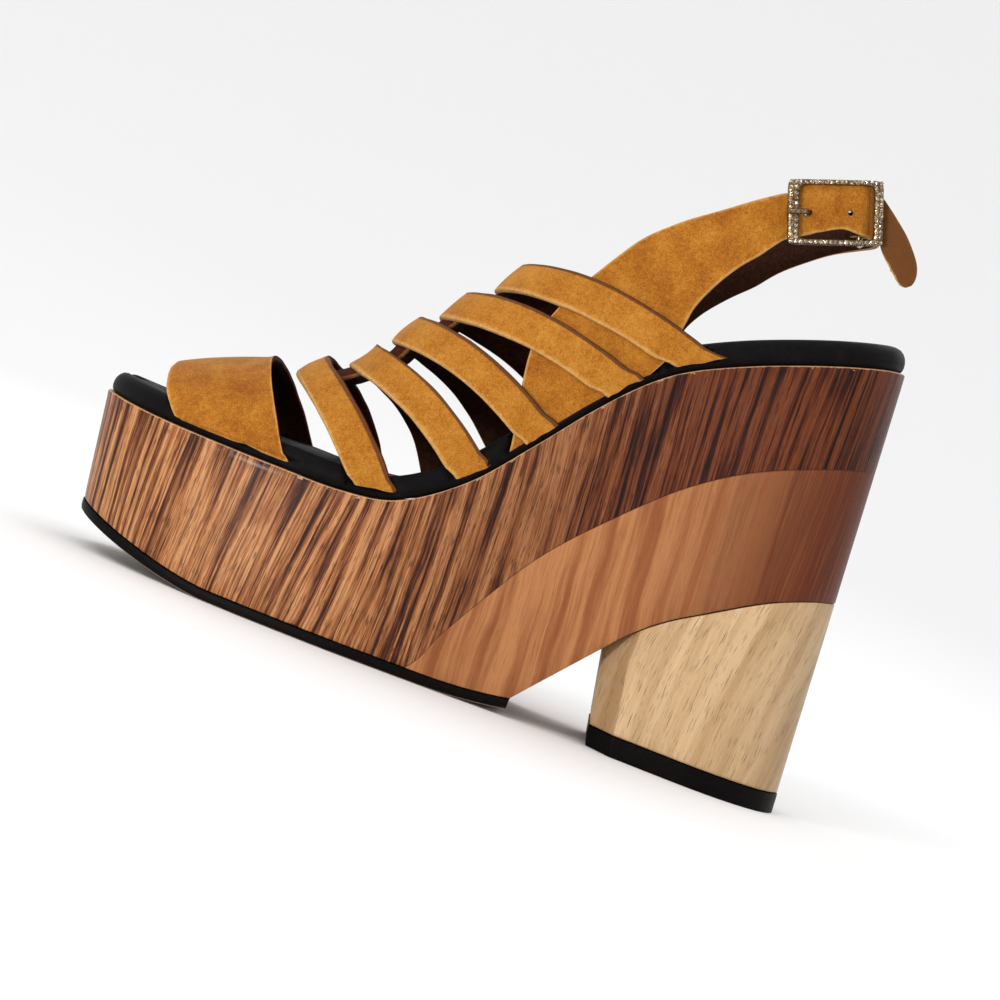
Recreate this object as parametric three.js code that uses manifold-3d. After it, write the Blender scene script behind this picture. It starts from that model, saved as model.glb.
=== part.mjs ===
// Platform sandal, left shoe: veneered platform and block heel, padded insole, suede strap upper.
// Millimetres. +X runs from toe to heel, -Y is the outer (lateral) side, +Z is up, the floor is z = 0.
import * as THREE from 'three';
import { mergeVertices } from 'three/addons/utils/BufferGeometryUtils.js';
import Module from 'manifold-3d';

const wasm = await Module();
wasm.setup();

// ---------------------------------------------------------------- driving dimensions
const GAP = 0.3;                 // clearance between neighbouring pieces
const FOOT_GAP = 0.8;            // clearance under the feet of the straps, on the curved platform
const OUTSOLE = 3.0;             // outsole thickness
const TOP_LIFT = 6.0;            // rubber piece under the heel
const INSOLE = 6.8;              // padded insole thickness
const INSOLE_INSET = 0.6;        // insole edge inside the platform edge
const LAST_INSET = 3.2;          // inner face of the quarters inside the platform edge
const QUARTER_WALL = 1.5;        // suede and lining of the quarters and sling
const STRAP_WALL = 1.6;          // suede and lining of a strap
const STRAP_LIFT = 1.2;          // inner face of a strap above the last
const STRAP_WIDTH = 11.0;
const ARCH_POWER = 2.3;          // roundness of a strap's arch, 2 is an ellipse
const TAPER = 0.0011;            // how much narrower the sides get per millimetre down
const OUTSOLE_END = 30.3;        // rear end of the outsole
const FLAT_START = -63;          // the outsole rests on the floor from here
const FLAT_END = 5;              // to here
const TOE_SPRING = 12;           // rise of the outsole at the toe tip
const REAR_RISE = 2.2;           // rise of the outsole at its rear end
const HEEL_FRONT_TOP = 50.4;     // front face of the heel block, at the shank
const HEEL_FRONT_FOOT = 56.2;    // front face of the heel block, at the floor
const HEEL_FRONT_HALF = 20;      // half the width of its front face
const TOE_TIP = -116.2;            // front end at the platform's top
const TOE_UNDERCUT = 0.145;      // how far the toe front leans back per millimetre down
const HEEL_TIP = 105.5;          // rear end at the platform's top
const HEEL_FLARE = 0.0745;       // how far the heel's back leans out per millimetre down
const TOE_LENGTH = 0.30;         // share of the length that the rounded toe takes
const HEEL_LENGTH = 0.15;        // share of the length that the rounded heel takes

// Top of the platform along its length.
const TOP = [
  { x: -118, z: 46.6 },
  { x: -100, z: 45.0 },
  { x: -80, z: 44.4 },
  { x: -55, z: 44.3 },
  { x: -36, z: 44.6 },
  { x: -20, z: 47.8 },
  { x: -3, z: 60.0 },
  { x: 11.5, z: 77.4 },
  { x: 22, z: 91.0 },
  { x: 33, z: 103.4 },
  { x: 43, z: 111.6 },
  { x: 59, z: 119.8 },
  { x: 77, z: 127.0 },
  { x: 98, z: 134.2 },
  { x: 107, z: 136.6 },
];

// Joint between the wedge and the heel block.
const HEEL_JOINT = [
  { x: 49, z: 27.4 },
  { x: 55.6, z: 35.0 },
  { x: 64, z: 42.4 },
  { x: 73, z: 48.3 },
  { x: 89.6, z: 58.2 },
  { x: 102.8, z: 63.4 },
  { x: 111, z: 65.2 },
];

// Half widths of the platform's top, from toe (0) to heel (1).
const OUTLINE = [
  { at: 0.0, lateral: 36.0, medial: 40.0 },
  { at: 0.15, lateral: 38.5, medial: 41.5 },
  { at: 0.28, lateral: 41.0, medial: 42.0 },
  { at: 0.38, lateral: 41.5, medial: 40.0 },
  { at: 0.5, lateral: 38.0, medial: 33.5 },
  { at: 0.62, lateral: 33.5, medial: 29.0 },
  { at: 0.75, lateral: 31.5, medial: 30.0 },
  { at: 0.88, lateral: 32.0, medial: 32.0 },
  { at: 1.0, lateral: 32.0, medial: 32.0 },
];

// Ribs of the last: where the arch of a strap there meets the insole's edge, its crest over the
// middle of the foot, and how far its flank bows outward in the side view.
const LAST = [
  { at: 0, footX: -90, crestX: -102.2, crestZ: 59.2, bow: 0 },
  { at: 1, footX: -53, crestX: -71.6, crestZ: 70.9, bow: 0 },
  { at: 2, footX: -27.4, crestX: -61.4, crestZ: 72.6, bow: 2.5 },
  { at: 3, footX: -2.4, crestX: -45.4, crestZ: 82.2, bow: 4 },
  { at: 4, footX: 10.6, crestX: -37.4, crestZ: 93.2, bow: 4 },
  { at: 5, footX: 28.2, crestX: -26.6, crestZ: 104.8, bow: 4 },
  { at: 6, footX: 45.4, crestX: -14.6, crestZ: 118.0, bow: 4 },
  { at: 7, footX: 62, crestX: 0, crestZ: 134, bow: 3 },
  { at: 8, footX: 80, crestX: 14, crestZ: 156, bow: 2 },
];

// Instep straps: the rib each lies on, how far its rear edge stands up at the crest, and how far
// forward its inner (medial) foot is set.
const STRAPS = [
  { at: 2, tilt: 2.2, medialForward: 0.0 },
  { at: 3, tilt: 1.4, medialForward: 0.14 },
  { at: 4, tilt: 1.0, medialForward: 0.2 },
  { at: 5, tilt: 1.4, medialForward: 0.2 },
  { at: 6, tilt: 1.2, medialForward: 0.2 },
];

// Quarter and sling, outer side, from the insole's edge to the buckle: front and rear edge. y is the
// distance of the inner face from the middle of the shoe, and null where it follows the last.
const QUARTER_OUTER = [
  { frontX: 4.7, frontZ: null, rearX: 32.7, rearZ: null, frontY: null, rearY: null },
  { frontX: 3.4, frontZ: 80, rearX: 35, rearZ: 109, frontY: null, rearY: null },
  { frontX: 0.8, frontZ: 92, rearX: 37.4, rearZ: 114, frontY: null, rearY: null },
  { frontX: -0.4, frontZ: 103.8, rearX: 38.4, rearZ: 120, frontY: null, rearY: null },
  { frontX: 2.1, frontZ: 114.7, rearX: 38.6, rearZ: 125.2, frontY: null, rearY: null },
  { frontX: 8.5, frontZ: 128.5, rearX: 39.6, rearZ: 131, frontY: null, rearY: null },
  { frontX: 17.2, frontZ: 143.1, rearX: 42.2, rearZ: 137.4, frontY: 22.2, rearY: 27.4 },
  { frontX: 26.1, frontZ: 152.1, rearX: 46.4, rearZ: 145.0, frontY: 25.2, rearY: 28.2 },
  { frontX: 39, frontZ: 161.8, rearX: 52.2, rearZ: 152.4, frontY: 27.4, rearY: 28.4 },
  { frontX: 50.4, frontZ: 170.4, rearX: 55.8, rearZ: 157.8, frontY: 27.2, rearY: 27.2 },
];

// Holed end of the outer strap in the buckle's own frame: through it and down to the tip. u runs
// towards the heel, v up and w out from the buckle's middle; w is the strap's inner face.
const STRAP_END = [
  { frontU: -10.5, frontV: 6.4, rearU: -10.5, rearV: -7.2, w: -3.0 },
  { frontU: -4, frontV: 6.8, rearU: -4, rearV: -6.9, w: -2.4 },
  { frontU: 3, frontV: 6.9, rearU: 3, rearV: -6.8, w: -2.6 },
  { frontU: 9, frontV: 6.8, rearU: 9.2, rearV: -6.8, w: -3.5 },
  { frontU: 13.6, frontV: 5.9, rearU: 13.4, rearV: -7, w: -3.6 },
  { frontU: 18.8, frontV: 1.4, rearU: 15.4, rearV: -9.2, w: -3.2 },
  { frontU: 22.4, frontV: -6.3, rearU: 17.2, rearV: -14, w: -3.0 },
  { frontU: 25, frontV: -13.6, rearU: 19.3, rearV: -17.7, w: -3.4 },
  { frontU: 24.8, frontV: -18.2, rearU: 21.4, rearV: -19.7, w: -3.8 },
];

// Quarter and sling, inner side, up to the back of the heel.
const QUARTER_INNER = [
  { frontX: 2.4, frontZ: null, rearX: 30, rearZ: null, frontY: null, rearY: null },
  { frontX: 1.4, frontZ: 78, rearX: 33, rearZ: 107.6, frontY: null, rearY: null },
  { frontX: -0.8, frontZ: 91, rearX: 35.6, rearZ: 112, frontY: null, rearY: null },
  { frontX: -1.4, frontZ: 102.4, rearX: 37, rearZ: 117.4, frontY: null, rearY: null },
  { frontX: 1.4, frontZ: 113.4, rearX: 38, rearZ: 122, frontY: null, rearY: null },
  { frontX: 8, frontZ: 127, rearX: 39.6, rearZ: 127.8, frontY: null, rearY: null },
  { frontX: 17.2, frontZ: 139.6, rearX: 42.4, rearZ: 133.2, frontY: 21.4, rearY: 26.8 },
  { frontX: 27, frontZ: 148, rearX: 47.4, rearZ: 139.8, frontY: 24.6, rearY: 27.4 },
  { frontX: 41, frontZ: 158, rearX: 55.4, rearZ: 148.2, frontY: 26.8, rearY: 27.4 },
  { frontX: 53, frontZ: 167.2, rearX: 62, rearZ: 154.4, frontY: 26.6, rearY: 27 },
  { frontX: 65.4, frontZ: 174.6, rearX: 71, rearZ: 161, frontY: 24.6, rearY: 25 },
  { frontX: 75.4, frontZ: 179.2, rearX: 78.4, rearZ: 165.6, frontY: 20.4, rearY: 21.4 },
  { frontX: 82.4, frontZ: 181.6, rearX: 84.6, rearZ: 168.2, frontY: 13.4, rearY: 14.4 },
  { frontX: 85.6, frontZ: 182.6, rearX: 87.6, rearZ: 169.2, frontY: 4.6, rearY: 5 },
  { frontX: 85.8, frontZ: 182.4, rearX: 87.8, rearZ: 169.2, frontY: -5, rearY: -5.2 },
  { frontX: 84.2, frontZ: 181.8, rearX: 86.6, rearZ: 168.6, frontY: -12.6, rearY: -12.8 },
  { frontX: 79.4, frontZ: 180.2, rearX: 83, rearZ: 167.4, frontY: -18.2, rearY: -18.4 },
];

// Buckle: a rectangular frame, with a hidden pin behind it that the sling's loop and the prong turn on.
const BUCKLE = { length: 27.4, height: 18.6, depth: 2.0, left: 3.4, right: 2.8, rail: 1.5, corner: 1.0 };
const BUCKLE_CENTRE = { x: 67.2, y: -29.4, z: 170.8 };
const BUCKLE_RISE = 20.1;        // degrees, up towards the heel
const BUCKLE_YAW = 4;            // degrees, in towards the heel
const PIN = { u: 8.4, w: -7.4, radius: 0.9 };
const LOOP_HALF = 6.2;           // half the height of the sling's loop on the pin
const PRONG = 1.6;               // thickness and width of the prong
const HOLES = [-7.8, 4.6];       // holes of the strap in the buckle, along u
const HOLE = { u: 4.4, v: 2.6 };

const MATERIALS = {
  zebrano: new THREE.MeshStandardMaterial({ color: 0x8a5336, roughness: 0.42, metalness: 0 }),
  oak: new THREE.MeshStandardMaterial({ color: 0xcfa874, roughness: 0.5, metalness: 0 }),
  rubber: new THREE.MeshStandardMaterial({ color: 0x1c1817, roughness: 0.7, metalness: 0 }),
  leather: new THREE.MeshStandardMaterial({ color: 0x151416, roughness: 0.45, metalness: 0 }),
  suede: new THREE.MeshStandardMaterial({ color: 0xbd7f33, roughness: 0.95, metalness: 0 }),
  gold: new THREE.MeshStandardMaterial({ color: 0x9a7a4a, roughness: 0.35, metalness: 1 }),
};

// ---------------------------------------------------------------- curves
// Smooth curve through a table's rows: value of one column at a place along another.
function along(rows, key, column) {
  const slope = rows.map((row, i) => {
    const before = rows[Math.max(i - 1, 0)];
    const after = rows[Math.min(i + 1, rows.length - 1)];
    return (after[column] - before[column]) / (after[key] - before[key]);
  });
  return (place) => {
    let i = 0;
    while (i < rows.length - 2 && place > rows[i + 1][key]) i += 1;
    const span = rows[i + 1][key] - rows[i][key];
    const t = THREE.MathUtils.clamp((place - rows[i][key]) / span, 0, 1);
    const rise = rows[i + 1][column] - rows[i][column];
    const a = slope[i] * span - rise;
    const b = rise - slope[i + 1] * span;
    return rows[i][column] + rise * t + t * (1 - t) * (a * (1 - t) + b * t);
  };
}

const topAt = along(TOP, 'x', 'z');
const jointAt = along(HEEL_JOINT, 'x', 'z');
const outlineAt = { lateral: along(OUTLINE, 'at', 'lateral'), medial: along(OUTLINE, 'at', 'medial') };
const rib = {
  footX: along(LAST, 'at', 'footX'),
  crestX: along(LAST, 'at', 'crestX'),
  crestZ: along(LAST, 'at', 'crestZ'),
  bow: along(LAST, 'at', 'bow'),
};

// Underside of the outsole: toe spring, flat, and a slight rise at the rear.
function soleAt(x) {
  if (x < FLAT_START) {
    return TOE_SPRING * ((FLAT_START - x) / (FLAT_START - TOE_TIP)) ** 1.5;
  }
  return x > FLAT_END ? REAR_RISE * ((x - FLAT_END) / (OUTSOLE_END - FLAT_END)) ** 2 : 0;
}

const toeTipAt = (z) => TOE_TIP + TOE_UNDERCUT * Math.max(topAt(TOE_TIP) - z, 0);
const heelTipAt = (z) => HEEL_TIP + HEEL_FLARE * (topAt(HEEL_TIP) - z);

// Half width of the platform or heel at a point of the side view.
function halfWidth(x, z, side) {
  const toe = toeTipAt(z);
  const share = (x - toe) / (heelTipAt(z) - toe);
  const nose = Math.max(1 - share / TOE_LENGTH, 0);
  const back = Math.max((share - 1 + HEEL_LENGTH) / HEEL_LENGTH, 0);
  const rounding = Math.max(1 - nose ** 2.4, 0) ** (1 / 2.4) * Math.max(1 - back ** 2.1, 0) ** (1 / 2.1);
  return outlineAt[side](share) * rounding * (1 - TAPER * Math.max(topAt(x) - z, 0));
}

// ---------------------------------------------------------------- solids
// Closed solid between two grids of points that face each other.
function shell(lower, upper) {
  const rows = lower.length;
  const columns = lower[0].length;
  const positions = [...lower.flat(), ...upper.flat()].flatMap((p) => [p.x, p.y, p.z]);
  const low = (i, j) => i * columns + j;
  const high = (i, j) => rows * columns + i * columns + j;
  const index = [];
  const quad = (a, b, c, d) => index.push(a, b, c, a, c, d);
  for (let i = 0; i < rows - 1; i += 1) {
    for (let j = 0; j < columns - 1; j += 1) {
      quad(high(i, j), high(i + 1, j), high(i + 1, j + 1), high(i, j + 1));
      quad(low(i, j), low(i, j + 1), low(i + 1, j + 1), low(i + 1, j));
    }
    const end = columns - 1;
    quad(high(i + 1, 0), high(i, 0), low(i, 0), low(i + 1, 0));
    quad(high(i, end), high(i + 1, end), low(i + 1, end), low(i, end));
  }
  for (let j = 0; j < columns - 1; j += 1) {
    const last = rows - 1;
    quad(high(0, j), high(0, j + 1), low(0, j + 1), low(0, j));
    quad(high(last, j + 1), high(last, j), low(last, j), low(last, j + 1));
  }
  const geometry = new THREE.BufferGeometry();
  geometry.setAttribute('position', new THREE.Float32BufferAttribute(positions, 3));
  geometry.setIndex(index);
  return facingOut(geometry);
}

// Turns the faces over where they point inwards.
function facingOut(geometry) {
  const place = geometry.attributes.position;
  const index = geometry.index.array;
  const corner = [new THREE.Vector3(), new THREE.Vector3(), new THREE.Vector3()];
  let volume = 0;
  for (let i = 0; i < index.length; i += 3) {
    corner.forEach((point, k) => point.fromBufferAttribute(place, index[i + k]));
    volume += corner[0].dot(corner[1].cross(corner[2]));
  }
  if (volume < 0) {
    for (let i = 0; i < index.length; i += 3) [index[i], index[i + 1]] = [index[i + 1], index[i]];
  }
  return geometry;
}

function toSolid(geometry) {
  const bare = geometry.clone();
  bare.deleteAttribute('normal');
  bare.deleteAttribute('uv');
  const merged = mergeVertices(bare, 1e-4);
  return new wasm.Manifold(new wasm.Mesh({
    numProp: 3,
    vertProperties: new Float32Array(merged.attributes.position.array),
    triVerts: new Uint32Array(merged.index.array),
  }));
}

function toGeometry(solid) {
  const mesh = solid.getMesh();
  const geometry = new THREE.BufferGeometry();
  geometry.setAttribute('position', new THREE.Float32BufferAttribute(mesh.vertProperties, 3));
  geometry.setIndex([...mesh.triVerts]);
  return geometry;
}

const join = (solids) => solids.reduce((whole, solid) => whole.add(solid));

// Places from a to b, closer together towards the ends that are rounded in plan.
function places(count, roundStart, roundEnd) {
  return Array.from({ length: count + 1 }, (_, i) => {
    const t = i / count;
    if (roundStart && roundEnd) return (1 - Math.cos(Math.PI * t)) / 2 * 0.7 + 0.3 * t;
    if (roundStart) return 1 - Math.sin((1 - t) * Math.PI / 2) * 0.6 - (1 - t) * 0.4;
    return roundEnd ? Math.sin(t * Math.PI / 2) * 0.6 + t * 0.4 : t;
  });
}

// Rows of points straight across the shoe, one row for each point of a side profile.
function across(profile, shares, width) {
  return profile.map(({ x, z }) => shares.map((share) => {
    const half = Math.max(width(x, z, share < 0 ? 'lateral' : 'medial'), 0.6);
    return new THREE.Vector3(x, share * half, z);
  }));
}

// ---------------------------------------------------------------- platform, heel and insole
const ACROSS = [-1, -0.5, 0, 0.5, 1];
const END_SHARE = 0.004;         // a rounded end stops this share of the length before its tip

function makePlatform() {
  const top = [];
  const bottom = [];
  // Each rib of the body joins a point of the top to one of the underside.
  const ribs = [
    { at: 0, topX: TOE_TIP, underX: toeTipAt(TOE_SPRING + OUTSOLE) },
    { at: 0.36, topX: -38, underX: -38 },
    { at: 0.56, topX: 4, underX: 16 },
    { at: 0.62, topX: 13, underX: OUTSOLE_END },
    { at: 0.72, topX: 33, underX: HEEL_FRONT_TOP },
    { at: 1, topX: HEEL_TIP, underX: heelTipAt(65) },
  ];
  const steps = [...places(44, true, true), 0.62, 0.72].sort((a, b) => a - b);
  for (const step of steps) {
    const at = THREE.MathUtils.clamp(step, END_SHARE, 1 - END_SHARE);
    const i = Math.min(ribs.findLastIndex((row) => row.at <= at), ribs.length - 2);
    const t = (at - ribs[i].at) / (ribs[i + 1].at - ribs[i].at);
    const topX = THREE.MathUtils.lerp(ribs[i].topX, ribs[i + 1].topX, t);
    const underX = THREE.MathUtils.lerp(ribs[i].underX, ribs[i + 1].underX, t);
    top.push({ x: topX, z: topAt(topX) });
    bottom.push({ x: underX, z: undersideAt(underX) });
  }
  return shell(across(bottom, ACROSS, halfWidth), across(top, ACROSS, halfWidth));
}

// Underside of the wooden body: over the outsole, up the shank, then along the heel block.
function undersideAt(x) {
  if (x <= OUTSOLE_END) return soleAt(x) + OUTSOLE + GAP;
  if (x >= HEEL_FRONT_TOP) return jointAt(x);
  const start = soleAt(OUTSOLE_END) + OUTSOLE + GAP;
  const t = (x - OUTSOLE_END) / (HEEL_FRONT_TOP - OUTSOLE_END);
  return THREE.MathUtils.lerp(start, jointAt(HEEL_FRONT_TOP), t);
}

function makeOutsole() {
  const toe = toeTipAt(TOE_SPRING);
  const xs = places(30, true, false).map((t) => THREE.MathUtils.lerp(toe + 0.9, OUTSOLE_END, t));
  const line = (rise) => xs.map((x) => ({ x, z: soleAt(x) + rise }));
  return shell(across(line(0), ACROSS, halfWidth), across(line(OUTSOLE), ACROSS, halfWidth));
}

// Half width of the heel block, whose front corners are bevelled.
function heelHalfWidth(x, z, side) {
  const t = THREE.MathUtils.clamp((jointAt(HEEL_FRONT_TOP) - z) / jointAt(HEEL_FRONT_TOP), 0, 1);
  const front = THREE.MathUtils.lerp(HEEL_FRONT_TOP, HEEL_FRONT_FOOT, t);
  return Math.min(halfWidth(x, z, side), HEEL_FRONT_HALF + Math.max(x - front, 0));
}

function makeHeelSlice(topOf, bottomZ) {
  const share = [0, 0.06, 0.12, ...places(18, false, true).map((t) => 0.16 + t * 0.838)];
  const ends = (z) => {
    const t = THREE.MathUtils.clamp((jointAt(HEEL_FRONT_TOP) - z) / jointAt(HEEL_FRONT_TOP), 0, 1);
    return [THREE.MathUtils.lerp(HEEL_FRONT_TOP, HEEL_FRONT_FOOT, t), heelTipAt(z)];
  };
  const row = (at, heightOf) => {
    const [front, back] = ends(heightOf(HEEL_FRONT_TOP + at * (heelTipAt(65) - HEEL_FRONT_TOP)));
    const x = THREE.MathUtils.lerp(front, back, at);
    return { x, z: heightOf(x) };
  };
  const top = share.map((at) => row(at, topOf));
  const bottom = share.map((at) => row(at, () => bottomZ));
  return shell(across(bottom, ACROSS, heelHalfWidth), across(top, ACROSS, heelHalfWidth));
}

// A point of the insole: along the platform's top, out from its surface, inside its edge.
function insolePoint(x, height, share, inset) {
  const slope = Math.atan2(topAt(x + 0.5) - topAt(x - 0.5), 1);
  const side = share < 0 ? 'lateral' : 'medial';
  const half = Math.max(halfWidth(x, topAt(x), side) - inset, 0.5);
  const rise = height + GAP;
  return new THREE.Vector3(x - Math.sin(slope) * rise, share * half, topAt(x) + Math.cos(slope) * rise);
}

function makeInsole() {
  const rim = 2.2;
  const first = TOE_TIP + INSOLE_INSET + 0.4;
  const last = HEEL_TIP - INSOLE_INSET - 0.4;
  const xs = places(46, true, true).map((t) => THREE.MathUtils.lerp(first, last, t));
  const shares = [-1, -0.96, -0.5, 0, 0.5, 0.96, 1];
  const grid = (rise) => xs.map((x, i) => shares.map((share) => {
    const atEnd = i === 0 || i === xs.length - 1;
    const edge = Math.abs(share) === 1 || atEnd;
    return insolePoint(x, rise === 0 ? 0 : (edge ? INSOLE - rim : INSOLE), share, INSOLE_INSET);
  }));
  return shell(grid(0), grid(1));
}

// ---------------------------------------------------------------- the last
// A point of the last: rib, turn (-1 outer edge, 0 crest, 1 inner edge) and height above its surface.
function lastPoint(at, turn, lift = 0) {
  const base = lastSurface(at, turn);
  if (lift === 0) return base;
  const step = 0.02;
  const alongRib = lastSurface(at, Math.min(turn + step, 1)).sub(lastSurface(at, Math.max(turn - step, -1)));
  const alongFoot = lastSurface(at + step, turn).sub(lastSurface(at - step, turn));
  const normal = alongFoot.cross(alongRib).normalize();
  return base.addScaledVector(normal, lift);
}

function lastSurface(at, turn) {
  const side = turn < 0 ? 'lateral' : 'medial';
  const footX = rib.footX(at);
  const footZ = topAt(footX) + FOOT_GAP;
  const angle = turn * Math.PI / 2;
  const up = Math.cos(angle) ** (2 / ARCH_POWER);
  const out = Math.abs(Math.sin(angle)) ** (2 / ARCH_POWER) * Math.sign(turn);
  const lean = Math.atan2(rib.crestZ(at) - footZ, rib.crestX(at) - footX);
  const bow = rib.bow(at) * 4 * up * (1 - up);
  return new THREE.Vector3(
    THREE.MathUtils.lerp(footX, rib.crestX(at), up) + Math.sin(lean) * bow,
    out * (halfWidth(footX, footZ, side) - LAST_INSET),
    THREE.MathUtils.lerp(footZ, rib.crestZ(at), up) - Math.cos(lean) * bow,
  );
}

// Distance of the last from the middle of the shoe, at a point of the side view: a search that
// closes in on the nearest rib and turn.
function lastHalfWidth(x, z, side) {
  const sign = side === 'lateral' ? -1 : 1;
  const missAt = (at, turn) => {
    const point = lastSurface(at, sign * turn);
    return Math.hypot(point.x - x, point.z - z);
  };
  let best = { at: 5, turn: 0.5, miss: Infinity };
  for (let step = 0.5, reach = 4; step > 0.001; step /= 2, reach = 2) {
    const centre = { ...best };
    for (let i = -reach; i <= reach; i += 1) {
      for (let j = -reach; j <= reach; j += 1) {
        const at = centre.at + i * step;
        const turn = THREE.MathUtils.clamp(centre.turn + j * step / 4, 0, 1);
        const miss = missAt(at, turn);
        if (miss < best.miss) best = { at, turn, miss };
      }
    }
  }
  return Math.abs(lastSurface(best.at, sign * best.turn).y);
}

// ---------------------------------------------------------------- straps of the upper
// A band over the foot. Its two edges are given as ribs of the last at each turn.
function makeBand({ front, rear, turns, columns, lift, wall, grow }) {
  const grid = (rise) => turns.map((turn) => Array.from({ length: columns + 1 }, (_, j) => {
    const t = j / columns;
    const point = lastPoint(THREE.MathUtils.lerp(front(turn), rear(turn), t), turn, lift(turn, t) + rise);
    if (Math.abs(turn) === 1) point.z -= grow;
    return point;
  }));
  return shell(grid(0), grid(wall));
}

const evenTurns = (count) => Array.from({ length: count + 1 }, (_, i) => -1 + 2 * i / count);

// Ribs between the two edges of a strap of a given width, at one turn.
function ribsAcross(at, turn, width) {
  const step = 0.05;
  const alongRib = lastSurface(at, Math.min(turn + step, 1)).sub(lastSurface(at, Math.max(turn - step, -1)));
  const alongFoot = lastSurface(at + step, turn).sub(lastSurface(at - step, turn));
  alongRib.normalize();
  const sideways = alongFoot.addScaledVector(alongRib, -alongFoot.dot(alongRib)).length();
  return width / 2 / (sideways / (2 * step));
}

function makeStrap({ at, tilt, medialForward }, grow = 0) {
  const centre = (turn) => at - (turn > 0 ? medialForward * turn ** 2 : 0);
  const half = (turn) => ribsAcross(centre(turn), turn, STRAP_WIDTH + 2 * grow);
  return makeBand({
    front: (turn) => centre(turn) - half(turn),
    rear: (turn) => centre(turn) + half(turn),
    turns: evenTurns(26),
    columns: 2,
    lift: (turn, t) => STRAP_LIFT - grow + tilt * Math.cos(turn * Math.PI / 2) ** 2 * (2 * t - 1),
    wall: STRAP_WALL + (grow > 0 ? LAST_INSET : 0),
    grow,
  });
}

function makeToeStrap(grow = 0) {
  return makeBand({
    front: (turn) => 0.12 - 0.36 * turn ** 2 * (1 - turn ** 2) + 0.08 * turn ** 8 - grow * 0.03,
    rear: () => 1 + grow * 0.03,
    turns: evenTurns(30),
    columns: 4,
    lift: (turn, t) => STRAP_LIFT - grow - 1.2 * (1 - t) ** 4 * Math.cos(turn * Math.PI / 2),
    wall: STRAP_WALL + (grow > 0 ? LAST_INSET : 0),
    grow,
  });
}

// Lining strip that runs lengthwise under the instep straps and hangs between them.
function makeInstepStrip() {
  const first = 1.3;
  const last = 5;
  const rows = Array.from({ length: 23 }, (_, i) => first + (last - first) * i / 22);
  const turns = [-0.3, -0.15, 0, 0.15, 0.3];
  const sag = (at) => -0.1 - 3.4 * Math.sin(Math.PI * at) ** 2 * (at < 2 ? 1 : 0.3);
  const wall = 1.5;
  const grid = (rise) => rows.map((at) => turns.map((turn) => lastPoint(at, turn, sag(at) + rise)));
  return shell(grid(0), grid(wall));
}

// A band between two edges given in the side view.
function makeQuarter(rows, side, columns, grow = 0) {
  const sign = side === 'lateral' ? -1 : 1;
  const edge = (row, end) => {
    const x = row[`${end}X`];
    const z = row[`${end}Z`] ?? topAt(x) + FOOT_GAP;
    return new THREE.Vector3(x, sign * (row[`${end}Y`] ?? lastHalfWidth(x, z, side)), z);
  };
  const edges = rows.map((row) => [edge(row, 'front'), edge(row, 'rear')]);
  const margin = grow / 20;
  const inner = refine(edges, 3).map(([front, rear]) => Array.from({ length: columns + 1 }, (_, j) => {
    return front.clone().lerp(rear, -margin + (1 + 2 * margin) * j / columns);
  }));
  inner[0].forEach((point) => {
    point.z = topAt(point.x) + FOOT_GAP - grow;
  });
  return thicken(inner, QUARTER_WALL + (grow > 0 ? LAST_INSET : 0), sign, grow);
}

// Smooth rows between given rows, by a curve through each edge.
function refine(edges, parts) {
  const curves = [0, 1].map((k) => new THREE.CatmullRomCurve3(edges.map((edge) => edge[k])));
  const count = (edges.length - 1) * parts;
  return Array.from({ length: count + 1 }, (_, i) => curves.map((curve) => curve.getPoint(i / count)));
}

// Gives a sheet of points its wall, towards the outside of the shoe.
function thicken(sheet, wall, sign, grow = 0) {
  const rows = sheet.length - 1;
  const columns = sheet[0].length - 1;
  const normals = sheet.map((row, i) => row.map((point, j) => {
    const down = sheet[Math.min(i + 1, rows)][j].clone().sub(sheet[Math.max(i - 1, 0)][j]);
    const over = sheet[i][Math.min(j + 1, columns)].clone().sub(sheet[i][Math.max(j - 1, 0)]);
    return down.cross(over).normalize().multiplyScalar(sign);
  }));
  const face = (rise) => sheet.map((row, i) => row.map((point, j) => {
    return point.clone().addScaledVector(normals[i][j], rise);
  }));
  return shell(face(-grow), face(wall + grow));
}

// ---------------------------------------------------------------- buckle
const buckleFrame = new THREE.Matrix4();
{
  const rise = THREE.MathUtils.degToRad(BUCKLE_RISE);
  const yaw = THREE.MathUtils.degToRad(BUCKLE_YAW);
  const u = new THREE.Vector3(Math.cos(rise) * Math.cos(yaw), Math.sin(yaw), Math.sin(rise) * Math.cos(yaw));
  const v = new THREE.Vector3(-Math.sin(rise), 0, Math.cos(rise));
  const w = u.clone().cross(v).normalize();
  buckleFrame.makeBasis(u, w.clone().cross(u), w);
  buckleFrame.setPosition(BUCKLE_CENTRE.x, BUCKLE_CENTRE.y, BUCKLE_CENTRE.z);
}
const fromBuckle = (u, v, w) => new THREE.Vector3(u, v, w).applyMatrix4(buckleFrame);

// A box in the buckle's frame, between two corners.
function buckleBox(low, high) {
  const box = new THREE.BoxGeometry(...high.map((value, k) => value - low[k]));
  box.translate(...high.map((value, k) => (value + low[k]) / 2));
  return toSolid(box);
}

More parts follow.
